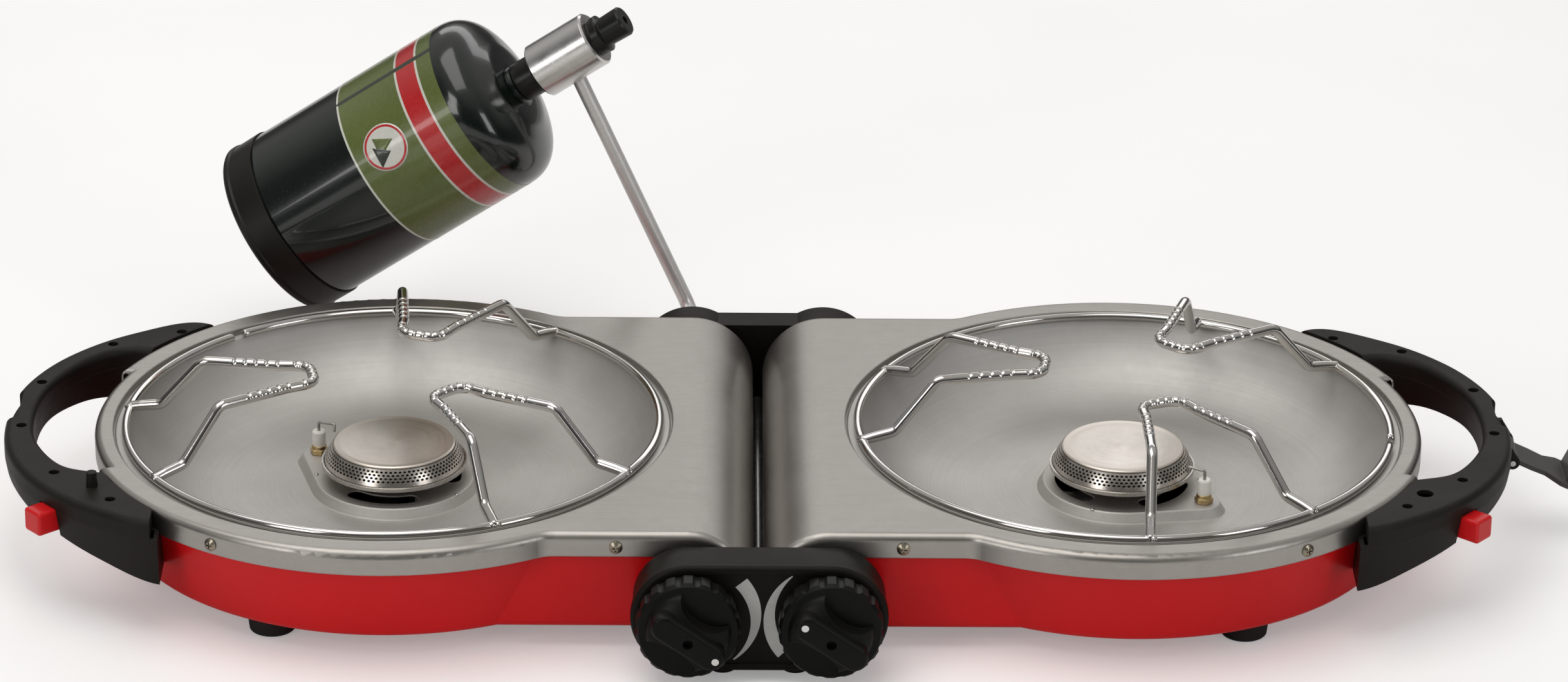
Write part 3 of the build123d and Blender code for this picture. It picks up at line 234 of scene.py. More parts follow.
# ------------------------------------------------------------------ material kinds
def brushed_deck(name):
    """Sheet steel with brush lines along X."""
    mat = Material(name)
    normal, edge = mat.edges(radius=1.0, span=(0.01, 0.3))
    brush = mat.noise(scale=1.0, detail=3.0, rough=0.6, within=mat.stretch((0.02, 1.7, 1.7)))
    blot = mat.noise(scale=0.018, detail=4.0, rough=0.6)
    mottle = mat.noise(scale=0.16, detail=4.0, rough=0.65)
    speck = mat.remap(mat.noise(scale=1.3, detail=2.0, rough=0.5), span=(0.66, 0.80))
    colour = mat.layer(blot, base=(0.385, 0.362, 0.335), over=(0.450, 0.428, 0.402))
    colour = mat.layer(mottle, colour, over=(0.490, 0.470, 0.445), span=(0.35, 0.75),
                       to=(0.0, 0.35))
    colour = mat.layer(brush, colour, over=(0.310, 0.293, 0.272), to=(0.0, 0.22))
    colour = mat.mix(mat.times(speck, gain=0.25), colour, over=(0.28, 0.26, 0.24))
    colour = mat.mix(mat.times(edge, gain=0.35), colour, over=(0.72, 0.71, 0.69))
    mat.set(Base_Color=colour, Metallic=1.0,
            Roughness=mat.add(mat.remap(brush, span=(0.2, 0.8), to=(0.30, 0.42)),
                              mat.remap(blot, to=(-0.03, 0.05))))
    mat.brushed_sheen(amount=0.35, direction=(0.0, 1.0, 0.0))
    mat.bump(mat.add(brush, mat.times(mottle, gain=0.6)), depth=0.015, normal=normal)
    return mat.data


def spun_bowl(name, centre):
    """Spun steel with rings round the bowl and a warm haze near the burner."""
    mat = Material(name)
    normal, edge = mat.edges(radius=0.8, span=(0.01, 0.3))
    spiral, radius = mat.polar(centre, turn_scale=4.0, stretch=(1.1, 0.25, 0.25))
    rings = mat.noise(scale=1.0, detail=3.0, rough=0.65, within=spiral)
    blot = mat.noise(scale=0.02, detail=4.0, rough=0.6)
    stain = mat.noise(scale=0.35, detail=4.0, rough=0.6)
    colour = mat.layer(blot, base=(0.555, 0.541, 0.520), over=(0.630, 0.615, 0.592))
    colour = mat.layer(rings, colour, over=(0.38, 0.37, 0.35), to=(0.0, 0.16))
    heat = mat.times(mat.remap(radius, span=(52.0, 34.0), to=(0.0, 0.45)),
                     mat.remap(stain, to=(0.4, 1.0)))
    colour = mat.mix(heat, colour, over=(0.500, 0.455, 0.400))
    colour = mat.mix(mat.times(edge, gain=0.5), colour, over=(0.82, 0.81, 0.79))
    mat.set(Base_Color=colour, Metallic=1.0,
            Roughness=mat.add(mat.remap(rings, span=(0.2, 0.8), to=(0.52, 0.60)),
                              mat.remap(stain, span=(0.3, 0.75), to=(0.0, 0.06))))
    mat.spun_sheen(amount=0.25)
    mat.bump(rings, depth=0.010, normal=normal)
    return mat.data


def plain_metal(name, dark, light, rough, grain, radius=0.5, stain=None):
    """Metal mottled between two tones, with an optional stain colour."""
    mat = Material(name)
    normal, edge = mat.edges(radius, span=(0.01, 0.3))
    mottle = mat.noise(scale=grain, detail=4.0, rough=0.6, within=mat.stretch((1, 1, 1)))
    broad = mat.noise(scale=0.06, detail=3.0, rough=0.6)
    colour = mat.layer(mottle, dark, light)
    colour = mat.layer(broad, colour, over=scaled(dark, 0.8), span=(0.35, 0.7), to=(0.0, 0.35))
    if stain is not None:
        colour = mat.layer(mat.noise(scale=0.25, detail=4.0, rough=0.65), colour, over=stain,
                           span=(0.45, 0.75), to=(0.0, 0.5))
    colour = mat.mix(mat.times(edge, gain=0.5), colour, over=brighter(light, 1.35))
    mat.set(Base_Color=colour, Metallic=1.0,
            Roughness=mat.remap(mat.add(mottle, broad), span=(0.6, 1.4), to=rough))
    mat.bump(mottle, depth=0.01, normal=normal)
    return mat.data


def chrome(name):
    """Polished plating with smudges and fine dark pits."""
    base = (0.61, 0.597, 0.580)
    warm_factors = (0.98, 0.93, 0.86)
    mat = Material(name)
    # Only the rounded normal is wanted here, so the edge mask isn't built
    bevel = mat.node("ShaderNodeBevel", samples=4)
    bevel.inputs["Radius"].default_value = 0.3 * MILLI
    smudge = mat.noise(scale=0.09, detail=5.0, rough=0.65)
    fine = mat.noise(scale=1.8, detail=3.0, rough=0.6)
    warm = mat.noise(scale=0.035, detail=3.0, rough=0.5)
    colour = mat.layer(warm, base, over=tuple(a * b for a, b in zip(base, warm_factors)),
                       span=(0.4, 0.7), to=(0.0, 0.6))
    colour = mat.layer(fine, colour, over=scaled(base, 0.55), span=(0.62, 0.78), to=(0.0, 0.25))
    mat.set(Base_Color=colour, Metallic=1.0,
            Roughness=mat.add(mat.remap(smudge, span=(0.35, 0.75), to=(0.05, 0.12)),
                              mat.remap(fine, span=(0.4, 0.8), to=(0.0, 0.04))))
    mat.bump(mat.add(fine, mat.times(smudge, gain=2.0)), depth=0.006, normal=bevel.outputs[0])
    return mat.data


def painted(name, base, low, worn, rough, coat, coat_rough=0.12, peel=0.5, peel_depth=0.012,
            spec=0.5, painted_shade=None):
    """Enamel with orange peel, dust and scuffs; painted shade colours deep, upward faces."""
    mat = Material(name)
    normal, edge = mat.edges(radius=0.8, span=(0.02, 0.35))
    big = mat.noise(scale=0.012, detail=3.0, rough=0.5)
    orange = mat.noise(scale=peel, detail=2.0, rough=0.45)
    dust = mat.noise(scale=0.9, detail=4.0, rough=0.7)
    scuff = mat.remap(mat.noise(scale=0.16, detail=5.0, rough=0.75,
                                within=mat.stretch((0.35, 0.35, 2.2))), span=(0.62, 0.8))
    colour = mat.layer(big, base, low)
    colour = mat.layer(dust, colour, over=(0.6, 0.5, 0.46), span=(0.62, 0.8), to=(0.0, 0.08))
    chips = mat.times(edge, mat.remap(dust, span=(0.35, 0.65), to=(0.15, 0.6)))
    colour = mat.mix(chips, colour, worn)
    colour = mat.mix(mat.times(scuff, gain=0.10), colour, worn)
    if painted_shade is not None:
        # Painted shade: deep, upward faces inside the shell turn near-black so the openings look
        # shaded
        upward = mat.remap(mat.split(mat.own_normal)[2], span=(0.5, 0.7))
        deep = mat.remap(mat.split(mat.point)[2], span=(DECK_TOP - 40.0, DECK_TOP - 46.0))
        colour = mat.mix(mat.times(upward, deep), colour, painted_shade)
    uneven = mat.add(mat.remap(dust, span=(0.4, 0.7), to=(-0.02, 0.06)),
                     mat.times(scuff, gain=0.12))
    mat.set(Base_Color=colour, Metallic=0.0, Coat_Weight=coat, Coat_Roughness=coat_rough,
            Specular_IOR_Level=spec, Roughness=mat.add(rough, uneven))
    mat.bump(mat.add(orange, mat.times(dust, gain=0.15)), peel_depth, normal)
    return mat.data


def moulded(name, base, pale, rough, grain=1.5, grain_depth=0.05, edge_gain=0.5, topdust=0.4,
            coat=0.0, spec=0.3):
    """Plastic or rubber with a leathery grain, paler on edges and dusty on upward faces."""
    mat = Material(name)
    normal, edge = mat.edges(radius=0.7, span=(0.02, 0.35))
    cells = mat.voronoi(grain)
    fine = mat.noise(scale=grain * 2.2, detail=3.0, rough=0.6)
    big = mat.noise(scale=0.03, detail=4.0, rough=0.6)
    top = mat.remap(mat.split(mat.own_normal)[2], span=(0.2, 0.95))
    halfway = tuple(0.5 * (a + b) for a, b in zip(base, pale))
    colour = mat.layer(big, base, over=halfway, span=(0.35, 0.7), to=(0.0, 0.5))
    dust = mat.times(top, mat.remap(fine, to=(0.3 * topdust, topdust)))
    colour = mat.mix(dust, colour, over=pale)
    colour = mat.mix(mat.times(edge, edge_gain), colour, over=scaled(pale, 1.6))
    mat.set(Base_Color=colour, Metallic=0.0, Specular_IOR_Level=spec, Coat_Weight=coat,
            Coat_Roughness=0.2,
            Roughness=mat.remap(mat.add(big, fine), span=(0.7, 1.3), to=rough))
    mat.bump(mat.add(cells, mat.times(fine, gain=0.8)), grain_depth, normal)
    return mat.data


def turned(name, base, axis, rough, pitch, metallic=1.0):
    """Machined metal with turning lines square to its axis."""
    mat = Material(name)
    normal, edge = mat.edges(radius=0.4, span=(0.01, 0.3))
    along = mat.vector("DOT_PRODUCT", mat.point, axis)
    lines = mat.noise(scale=pitch, detail=3.0, rough=0.6, within=mat.combine(along))
    smudge = mat.noise(scale=0.09, detail=4.0, rough=0.6)
    colour = mat.layer(lines, base, over=scaled(base, 0.72), to=(0.0, 0.35))
    colour = mat.mix(mat.times(edge, gain=0.5), colour, over=(0.86, 0.85, 0.84))
    mat.set(Base_Color=colour, Metallic=metallic,
            Roughness=mat.add(mat.remap(lines, to=rough),
                              mat.remap(smudge, span=(0.4, 0.7), to=(0.0, 0.08))))
    mat.bump(lines, depth=0.006, normal=normal)
    return mat.data


def burner_cap_steel(name, centre):
    """Turned steel, heat-stained towards its rim."""
    mat = Material(name)
    normal, edge = mat.edges(radius=0.5, span=(0.01, 0.3))
    spiral, radius = mat.polar(centre, turn_scale=3.0, stretch=(2.2, 0.3, 0.3))
    rings = mat.noise(scale=1.0, detail=3.0, rough=0.6, within=spiral)
    stain = mat.noise(scale=0.10, detail=5.0, rough=0.65, warp=0.6)
    colour = mat.layer(stain, base=(0.680, 0.625, 0.570), over=(0.760, 0.715, 0.665))
    heat = mat.times(mat.remap(radius, span=(22.0, 32.0), to=(0.0, 0.55)),
                     mat.remap(stain, span=(0.35, 0.65), to=(0.3, 1.0)))
    colour = mat.mix(heat, colour, over=(0.52, 0.44, 0.36))
    colour = mat.layer(rings, colour, over=(0.52, 0.485, 0.45), to=(0.0, 0.25))
    colour = mat.mix(mat.times(edge, gain=0.5), colour, over=(0.82, 0.80, 0.77))
    mat.set(Base_Color=colour, Metallic=1.0, Roughness=mat.remap(rings, to=(0.28, 0.38)))
    mat.spun_sheen(amount=0.35)
    mat.bump(rings, depth=0.008, normal=normal)
    return mat.data


def ceramic(name):
    """Glazed ceramic, sooty towards its foot."""
    mat = Material(name)
    bevel = mat.node("ShaderNodeBevel", samples=4)
    bevel.inputs["Radius"].default_value = 0.4 * MILLI
    soot_and_shade = mat.noise(scale=0.5, detail=4.0, rough=0.6)
    low = mat.remap(mat.split(mat.point)[2], span=(DECK_TOP - 24.0, DECK_TOP - 32.0),
                    to=(0.0, 0.6))
    colour = mat.layer(soot_and_shade, base=(0.86, 0.84, 0.79), over=(0.74, 0.70, 0.62),
                       span=(0.35, 0.7), to=(0.0, 0.4))
    colour = mat.mix(mat.times(low, mat.remap(soot_and_shade, to=(0.3, 1.0))), colour,
                     over=(0.45, 0.38, 0.30))
    mat.set(Base_Color=colour, Roughness=mat.remap(soot_and_shade, to=(0.22, 0.38)), Coat_Weight=0.5,
            Coat_Roughness=0.1, Subsurface_Weight=0.08, Subsurface_Scale=0.003)
    mat.bump(soot_and_shade, depth=0.02, normal=bevel.outputs[0])
    return mat.data


def printed(name, ink, light, rough, gloss):
    """Printed film: thin ink with a faint screen and a gentle tone change."""
    mat = Material(name)
    big = mat.noise(scale=0.02, detail=4.0, rough=0.6)
    screen = mat.voronoi(scale=3.2)
    mottle = mat.noise(scale=0.35, detail=4.0, rough=0.65)
    colour = mat.layer(big, ink, light)
    colour = mat.layer(screen, colour, over=scaled(ink, 0.5), span=(0.15, 0.5), to=(0.0, 0.10))
    colour = mat.layer(mottle, colour, over=brighter(light, 1.3), span=(0.45, 0.8),
                       to=(0.0, 0.25))
    mat.set(Base_Color=colour, Roughness=mat.remap(mottle, to=(rough - 0.04, rough + 0.06)),
            Coat_Weight=gloss, Coat_Roughness=0.06)
    mat.bump(mat.add(screen, mottle), depth=0.006)
    return mat.data


# ------------------------------------------------------------------ materials
MATERIALS = {
    "deck_steel": brushed_deck("deck_brushed_steel"),
    "bowl_left": spun_bowl("bowl_spun_steel_left", BOWLS["left"]),
    "bowl_right": spun_bowl("bowl_spun_steel_right", BOWLS["right"]),
    "shell_red": painted(
        "red_enamel", base=(0.720, 0.0080, 0.0110), low=(0.640, 0.0060, 0.0085),
        worn=(0.78, 0.06, 0.05), rough=0.32, coat=0.08, spec=0.18,
        # Near-black painted shade for the inside floor of the shell
        painted_shade=(0.020, 0.017, 0.015)),
    "black_plastic": moulded(
        "handle_moulding", base=(0.0090, 0.0077, 0.0058), pale=(0.030, 0.0265, 0.0215),
        rough=(0.42, 0.58), spec=0.18),
    "panel_black": moulded(
        "panel_moulding", base=(0.0070, 0.0060, 0.0046), pale=(0.023, 0.0200, 0.0160),
        rough=(0.34, 0.46), grain=2.4, grain_depth=0.018, spec=0.10),
    "knob_black": moulded(
        "knob_moulding", base=(0.0036, 0.0036, 0.0034), pale=(0.018, 0.0172, 0.0158),
        rough=(0.30, 0.42), grain=2.4, grain_depth=0.015, topdust=0.5, spec=0.12),
    "spine_black": painted(
        "spine_black_paint", base=(0.012, 0.012, 0.012), low=(0.009, 0.009, 0.009),
        worn=(0.10, 0.10, 0.10), rough=0.4, coat=0.2),
    "zinc": plain_metal(
        "zinc_plate", dark=(0.46, 0.46, 0.45), light=(0.62, 0.62, 0.60),
        rough=(0.28, 0.42), grain=0.35, stain=(0.50, 0.46, 0.36)),
    "rubber": moulded(
        "foot_rubber", base=(0.014, 0.0135, 0.013), pale=(0.035, 0.034, 0.033),
        rough=(0.70, 0.85), grain=1.0, grain_depth=0.06),
    "burner_steel": plain_metal(
        "burner_pressing", dark=(0.48, 0.455, 0.425), light=(0.60, 0.575, 0.545),
        rough=(0.22, 0.32), grain=1.2, stain=(0.46, 0.40, 0.33)),
    "ring_steel": plain_metal(
        "burner_ring_steel", dark=(0.52, 0.480, 0.440), light=(0.64, 0.605, 0.565),
        rough=(0.20, 0.30), grain=1.6, stain=(0.50, 0.42, 0.34), radius=0.15),
    "cap_left": burner_cap_steel("burner_cap_steel_left", BOWLS["left"]),
    "cap_right": burner_cap_steel("burner_cap_steel_right", BOWLS["right"]),
    "ceramic": ceramic("electrode_ceramic"),
    "wire_dark": plain_metal(
        "electrode_wire_metal", dark=(0.30, 0.28, 0.26), light=(0.44, 0.42, 0.40),
        rough=(0.28, 0.4), grain=2.0),
    "lead_sleeve": moulded(
        "lead_sleeve", base=(0.020, 0.018, 0.017), pale=(0.05, 0.046, 0.042),
        rough=(0.45, 0.6), grain=2.0),
    "button_red": moulded(
        "button_red_plastic", base=(0.66, 0.008, 0.011), pale=(0.74, 0.025, 0.027),
        rough=(0.24, 0.34), grain=3.0, grain_depth=0.006, edge_gain=0.2, topdust=0.1,
        coat=0.2, spec=0.2),
    "chrome_wire": chrome("chromed_wire"),
    "latch_grey": moulded(
        "latch_grey_plastic", base=(0.060, 0.058, 0.054), pale=(0.110, 0.107, 0.100),
        rough=(0.35, 0.5), grain=2.0, grain_depth=0.02),
    "arm_steel": turned(
        "arm_plated_tube", base=(0.90, 0.89, 0.87), axis=(0.5, 0.0, -0.86),
        rough=(0.34, 0.42), pitch=0.6, metallic=0.7),
    "regulator_chrome": turned(
        "regulator_turned", base=(0.80, 0.785, 0.765), axis=tuple(CAN_AXIS),
        rough=(0.16, 0.26), pitch=2.4),
    "cylinder_green": painted(
        "cylinder_green_enamel", base=(0.0028, 0.0070, 0.0048), low=(0.0022, 0.0056, 0.0040),
        worn=(0.05, 0.09, 0.07), rough=0.18, coat=0.65, coat_rough=0.05, peel=0.25,
        peel_depth=0.006),
    "boot_black": moulded(
        "boot_plastic", base=(0.0095, 0.0080, 0.0062), pale=(0.026, 0.0225, 0.018),
        rough=(0.30, 0.42), grain=2.0, grain_depth=0.012, spec=0.25),
    "cap_black": moulded(
        "regulator_black_plastic", base=(0.0080, 0.0075, 0.0072), pale=(0.024, 0.023, 0.022),
        rough=(0.22, 0.34), grain=2.6, grain_depth=0.01),
    "brass": plain_metal(
        "brass_plate", dark=(0.50, 0.36, 0.17), light=(0.68, 0.52, 0.28),
        rough=(0.22, 0.36), grain=1.4, stain=(0.34, 0.26, 0.15), radius=0.25),
    "screw_bronze": plain_metal(
        "screw_bronzed_plate", dark=(0.30, 0.265, 0.20), light=(0.42, 0.375, 0.30),
        rough=(0.25, 0.38), grain=1.4, stain=(0.24, 0.20, 0.14), radius=0.25),
    "silver_ink": printed(
        "silver_ink", ink=(0.44, 0.44, 0.425), light=(0.55, 0.55, 0.53), rough=0.34, gloss=0.2),
    "white_ink": printed(
        "white_ink", ink=(0.78, 0.77, 0.74), light=(0.86, 0.85, 0.82), rough=0.4, gloss=0.2),
    "label_green": printed(
        "label_green_print", ink=(0.100, 0.132, 0.029), light=(0.138, 0.172, 0.045),
        rough=0.26, gloss=0.6),
    "label_dark": printed(
        "label_dark_print", ink=(0.012, 0.018, 0.009), light=(0.020, 0.028, 0.014),
        rough=0.28, gloss=0.8),
    "label_red": printed(
        "label_red_print", ink=(0.50, 0.010, 0.014), light=(0.58, 0.018, 0.020),
        rough=0.26, gloss=0.8),
    "label_cream": printed(
        "label_cream_print", ink=(0.66, 0.66, 0.58), light=(0.76, 0.76, 0.69),
        rough=0.28, gloss=0.8),
}

# CAD piece, with or without its side, to material
LOOKS = {
    "top_plate": "deck_steel", "lower_shell": "shell_red", "handle_upper": "black_plastic",
    "handle_lower": "black_plastic", "handle_screws": "zinc", "feet": "rubber",
    "skirt_screws": "screw_bronze", "hinge_brackets": "zinc", "igniter_button": "button_red",
    "igniter_unit": "panel_black", "burner_body": "burner_steel", "burner_ring": "ring_steel",
    "mixer_tube": "zinc", "electrode": "ceramic", "electrode_wire": "wire_dark",
    "ignition_lead": "lead_sleeve", "pan_support": "chrome_wire", "spine_beam": "spine_black",
    "front_housing": "panel_black", "control_panel": "panel_black",
    "rear_housing": "panel_black", "spine_feet": "rubber", "spine_screws": "zinc",
    "manifold_tube": "zinc", "gas_valve": "brass", "gas_inlet_port": "zinc",
    "knob": "knob_black", "latch_hook": "latch_grey", "latch_pin": "zinc",
    "arm_tube": "arm_steel", "arm_connector": "zinc", "regulator_body": "regulator_chrome",
    "regulator_collar": "cap_black", "regulator_cap": "cap_black",
    "cylinder_body": "cylinder_green", "cylinder_boot": "boot_black",
    "cylinder_valve": "brass",
    "drip_bowl_left": "bowl_left", "drip_bowl_right": "bowl_right",
    "burner_cap_left": "cap_left", "burner_cap_right": "cap_right",
}
for name, piece in frame["nodes"].items():
    look = MATERIALS[LOOKS.get(name) or LOOKS[name.rsplit("_", 1)[0]]]
    if not piece.data.materials:
        piece.data.materials.append(look)
    for material_slot in piece.material_slots:
        material_slot.material = look


# ------------------------------------------------------------------ mesh helpers
def mark_creases(mesh, angle):
    """Stop smooth shading at edges sharper than the angle."""
    work = bmesh.new()
    work.from_mesh(mesh)
    for edge in work.edges:
        if len(edge.link_faces) == 2 and edge.calc_face_angle(0.0) > radians(angle):
            edge.smooth = False
    work.to_mesh(mesh)
    work.free()


def new_part(name, verts, faces, material, body, slot, replaces=None, smooth=True, crease=None):
    mesh = bpy.data.meshes.new(name)
    mesh.from_pydata([Vector(v) * MILLI for v in verts], [], faces)
    mesh.validate()
    part = bpy.data.objects.new(name, mesh)
    scene.collection.objects.link(part)
    mesh.materials.append(MATERIALS[material])
    work = bmesh.new()
    work.from_mesh(mesh)
    bmesh.ops.remove_doubles(work, verts=work.verts, dist=1e-7)
    bmesh.ops.recalc_face_normals(work, faces=work.faces)
    for face in work.faces:
        face.smooth = smooth
    work.to_mesh(mesh)
    work.free()
    if crease is not None:
        mark_creases(mesh, crease)
    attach(part, body)
    if replaces is not None:
        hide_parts(replaces)


def rounded_path(points, radii, step):
    """Polyline with circular bends, resampled evenly; and its length."""
    bent = [points[0].copy()]
    for i in range(1, len(points) - 1):
        before, corner, after = points[i - 1], points[i], points[i + 1]
        back, ahead = (before - corner).normalized(), (after - corner).normalized()
        half_angle = back.angle(ahead) / 2
        cut = min(radii[i] / math.tan(half_angle), (before - corner).length * 0.49,
                  (after - corner).length * 0.49)
        radius = cut * math.tan(half_angle)
        centre = corner + (back + ahead).normalized() * (radius / sin(half_angle))
        start = corner + back * cut - centre
        end = corner + ahead * cut - centre
        sweep = start.angle(end)
        axis = start.cross(end).normalized()
        count = max(4, int(radius * sweep / 0.7))
        for k in range(count + 1):
            bent.append(centre + Matrix.Rotation(sweep * k / count, 3, axis) @ start)
    bent.append(points[-1].copy())

    reached = [0.0]
    for here, there in zip(bent, bent[1:]):
        reached.append(reached[-1] + (there - here).length)
    total = reached[-1]
    count = max(2, int(round(total / step)))
    path, j = [], 0
    for k in range(count + 1):
        target = total * k / count
        while j < len(reached) - 2 and reached[j + 1] < target:
            j += 1
        gap = reached[j + 1] - reached[j]
        share = 0.0 if gap < 1e-9 else (target - reached[j]) / gap
        path.append(bent[j].lerp(bent[j + 1], share))
    return path, total


def bands(row_pairs, sides):
    """Quads between pairs of vertex rings that have the same number of sides."""
    return [(low * sides + k, low * sides + (k + 1) % sides,
             high * sides + (k + 1) % sides, high * sides + k)
            for low, high in row_pairs for k in range(sides)]


def tube(path, radius, sides, shape=lambda along, outward: 1.0):
    """Round bar with domed ends along a path that doesn't start upright.

    shape(distance along, outward direction) gives a factor on the radius.
    """
    count = len(path)
    tangents = [(path[min(i + 1, count - 1)] - path[max(i - 1, 0)]).normalized()
                for i in range(count)]
    normal = Vector((0, 0, 1))
    verts = []
    along = 0.0
    for i, tangent in enumerate(tangents):
        if i:
            along += (path[i] - path[i - 1]).length
        normal = (normal - tangent * normal.dot(tangent)).normalized()
        side = tangent.cross(normal)
        for k in range(sides):
            angle = 2 * pi * k / sides
            outward = normal * cos(angle) + side * sin(angle)
            verts.append(path[i] + outward * (radius * shape(along, outward)))
    faces = bands([(i, i + 1) for i in range(count - 1)], sides)
    for end, sign in ((0, -1), (count - 1, 1)):
        away = tangents[end] * sign
        previous = [end * sides + k for k in range(sides)]
        for rise in (0.35, 0.7):
            current = list(range(len(verts), len(verts) + sides))
            for k in range(sides):
                spoke = verts[end * sides + k] - path[end]
                verts.append(path[end] + spoke * sqrt(1 - rise * rise)
                             + away * radius * rise * 0.55)
            for k in range(sides):
                after = (k + 1) % sides
                faces.append((previous[k], previous[after], current[after], current[k]))
            previous = current
        verts.append(path[end] + away * radius * 0.56)
        tip = len(verts) - 1
        for k in range(sides):
            faces.append((previous[k], previous[(k + 1) % sides], tip))
    return verts, faces


def weld_bead(centre, axes, seed, rows=8, cols=14):
    """Closed lumpy ellipsoid with the given three half-axes."""
    first, second, third = axes
    verts, faces = [centre + third], []
    for i in range(1, rows):
        tilt = pi * i / rows
        for k in range(cols):
            turn = 2 * pi * k / cols
            lump = (1.0 + 0.10 * sin(3 * turn + seed) * sin(tilt)
                    + 0.06 * sin(5 * tilt + 2 * seed + turn))
            verts.append(centre + first * (sin(tilt) * cos(turn) * lump)
                         + second * (sin(tilt) * sin(turn) * lump) + third * cos(tilt))
    verts.append(centre - third)
    last = 1 + (rows - 2) * cols
    for k in range(cols):
        after = (k + 1) % cols
        faces.append((0, 1 + k, 1 + after))
        faces.append((len(verts) - 1, last + after, last + k))
    for i in range(rows - 2):
        for k in range(cols):
            here = 1 + i * cols + k
            after = 1 + i * cols + (k + 1) % cols
            faces.append((here, here + cols, after + cols, after))
    return verts, faces


def join(parts):
    verts, faces = [], []
    for part_verts, part_faces in parts:
        offset = len(verts)
        verts.extend(part_verts)
        faces.extend(tuple(i + offset for i in face) for face in part_faces)
    return verts, faces


def lathe(profile, sides, place):
    """Solid of revolution from a closed loop of (radius, distance along the axis).

    place(x, y, along) sets a point, with x and y measured from the axis.
    """
    verts = []
    for radius, along in profile:
        for k in range(sides):
            angle = 2 * pi * k / sides
            verts.append(place(radius * cos(angle), radius * sin(angle), along))
    count = len(profile)
    # A step that runs along the axis itself has no surface
    pairs = [(i, (i + 1) % count) for i in range(count)
             if max(profile[i][0], profile[(i + 1) % count][0]) >= 1e-6]
    return verts, bands(pairs, sides)


def upright(centre):
    """Places lathe points about a vertical axis."""
    return lambda x, y, along: Vector((centre[0] + x, centre[1] + y, along))


# ------------------------------------------------------------------ pan supports
# A split wire ring, with three bent wires whose notched bends point at the burner
RING_WIRE_RADIUS = 2.25
BENT_WIRE_RADIUS = 2.8
SUPPORT_RING_RADIUS = 136.6
SUPPORT_RING_Z = DECK_TOP - 0.4
SUPPORT_TOP = 29.05         # above the deck
SPLIT_HALF_ANGLE = 1.7      # degrees
# Half of a bent wire, foot to nose: distance out, distance across, height, bend radius
HALF_WIRE = [
    (129.6, 44.4, 0.2, 0), (114, 37.3, 2.9, 7.0), (93.6, 28, SUPPORT_TOP, 7.0),
    (57, 14.2, SUPPORT_TOP, 16.0), (41.5, 10.5, SUPPORT_TOP, 8.5),
]
# Runs of notches, measured each way from the nose: first, pitch, count
NOTCH_RUNS = [(24.5, 5.6, 5), (2.3, 4.4, 4)]


def notched(total):
    """Radius factor for a bent wire: notches along its top and flattened feet."""
    marks = [total / 2 + sign * (first + pitch * k) for sign in (-1, 1)
             for first, pitch, count in NOTCH_RUNS for k in range(count)]

    def shape(along, outward):
        factor = 1.0
        if outward.z > 0.05:
            for mark in marks:
                offset = (along - mark) / 0.55
                if abs(offset) < 3:
                    factor -= 0.24 * min(1.0, outward.z * 1.3) * exp(-offset * offset)
        # Metal raised on both sides of each notch
        if outward.z > 0.3:
            for mark in marks:
                for shift in (-1.35, 1.35):
                    offset = (along - mark - shift) / 0.5
                    if abs(offset) < 3:
                        factor += 0.014 * exp(-offset * offset)
        from_end = min(along, total - along)
        if from_end < 6.0:
            factor *= 1.0 - 0.14 * (1 - from_end / 6.0) * abs(outward.z)
        return factor

    return shape


def foot_welds(foot, inner, seed, end):
    """Two beads, one on each side of a bent wire's foot."""
    along = (foot - inner).normalized()
    across = Vector((-along.y, along.x, 0)).normalized()
    spot = foot + along * 0.2
    return [
        weld_bead(spot + Vector((0, 0, 0.5)) + across * 1.6,
                  (along * 2.2, across * 1.9, Vector((0, 0, 1.5))), seed=1.0 + seed + end),
        weld_bead(spot + Vector((0, 0, 0.3)) - across * 1.7,
                  (along * 2.0, across * 1.7, Vector((0, 0, 1.4))), seed=2.3 + seed - end),
    ]


def pan_support(side, first_angle, split_angle):
    centre_x, centre_y = BOWLS[side]
    steps = 300
    ring = []
    for k in range(steps + 1):
        angle = radians(split_angle + SPLIT_HALF_ANGLE
                        + (360 - 2 * SPLIT_HALF_ANGLE) * k / steps)
        ring.append(Vector((centre_x + SUPPORT_RING_RADIUS * cos(angle),
                            centre_y + SUPPORT_RING_RADIUS * sin(angle), SUPPORT_RING_Z)))
    parts = [tube(ring, RING_WIRE_RADIUS, sides=18)]
    radii = [row[3] for row in HALF_WIRE + HALF_WIRE[::-1]]
    stations = [row[:3] for row in HALF_WIRE]
    stations += [(out, -across, z) for out, across, z in stations[::-1]]
    for wire in range(3):
        angle = radians(first_angle + 120 * wire)
        points = [Vector((centre_x + out * cos(angle) - across * sin(angle),
                          centre_y + out * sin(angle) + across * cos(angle), DECK_TOP + z))
                  for out, across, z in stations]
        path, total = rounded_path(points, radii, step=0.55)
        parts.append(tube(path, BENT_WIRE_RADIUS, sides=16, shape=notched(total)))
        parts += foot_welds(path[0], path[6], wire, 0)
        parts += foot_welds(path[-1], path[-7], wire, -1)
    new_part("pan_support_wire_" + side, *join(parts), "chrome_wire", "pan_support_" + side,
             "chrome_wire", replaces="pan_support_" + side)


pan_support("left", first_angle=73.3, split_angle=130.0)
pan_support("right", first_angle=51.0, split_angle=-9.0)


# ------------------------------------------------------------------ burner rings
# A perforated cone of sheet with plain lips above and below the holes
CONE_TOP = (31.75, DECK_TOP - 14.25)        # radius, z
CONE_FOOT = (36.0, DECK_TOP - 22.35)
CONE_BULGE = 0.35
SHEET = 0.55
HOLE_COLS, HOLE_ROWS = 86, 4
TOP_LIP, FOOT_LIP = 0.07, 0.20              # shares of the slope
HOLE_SHARES = (0.36, 0.33)                  # hole half-sizes, down and round, in cells


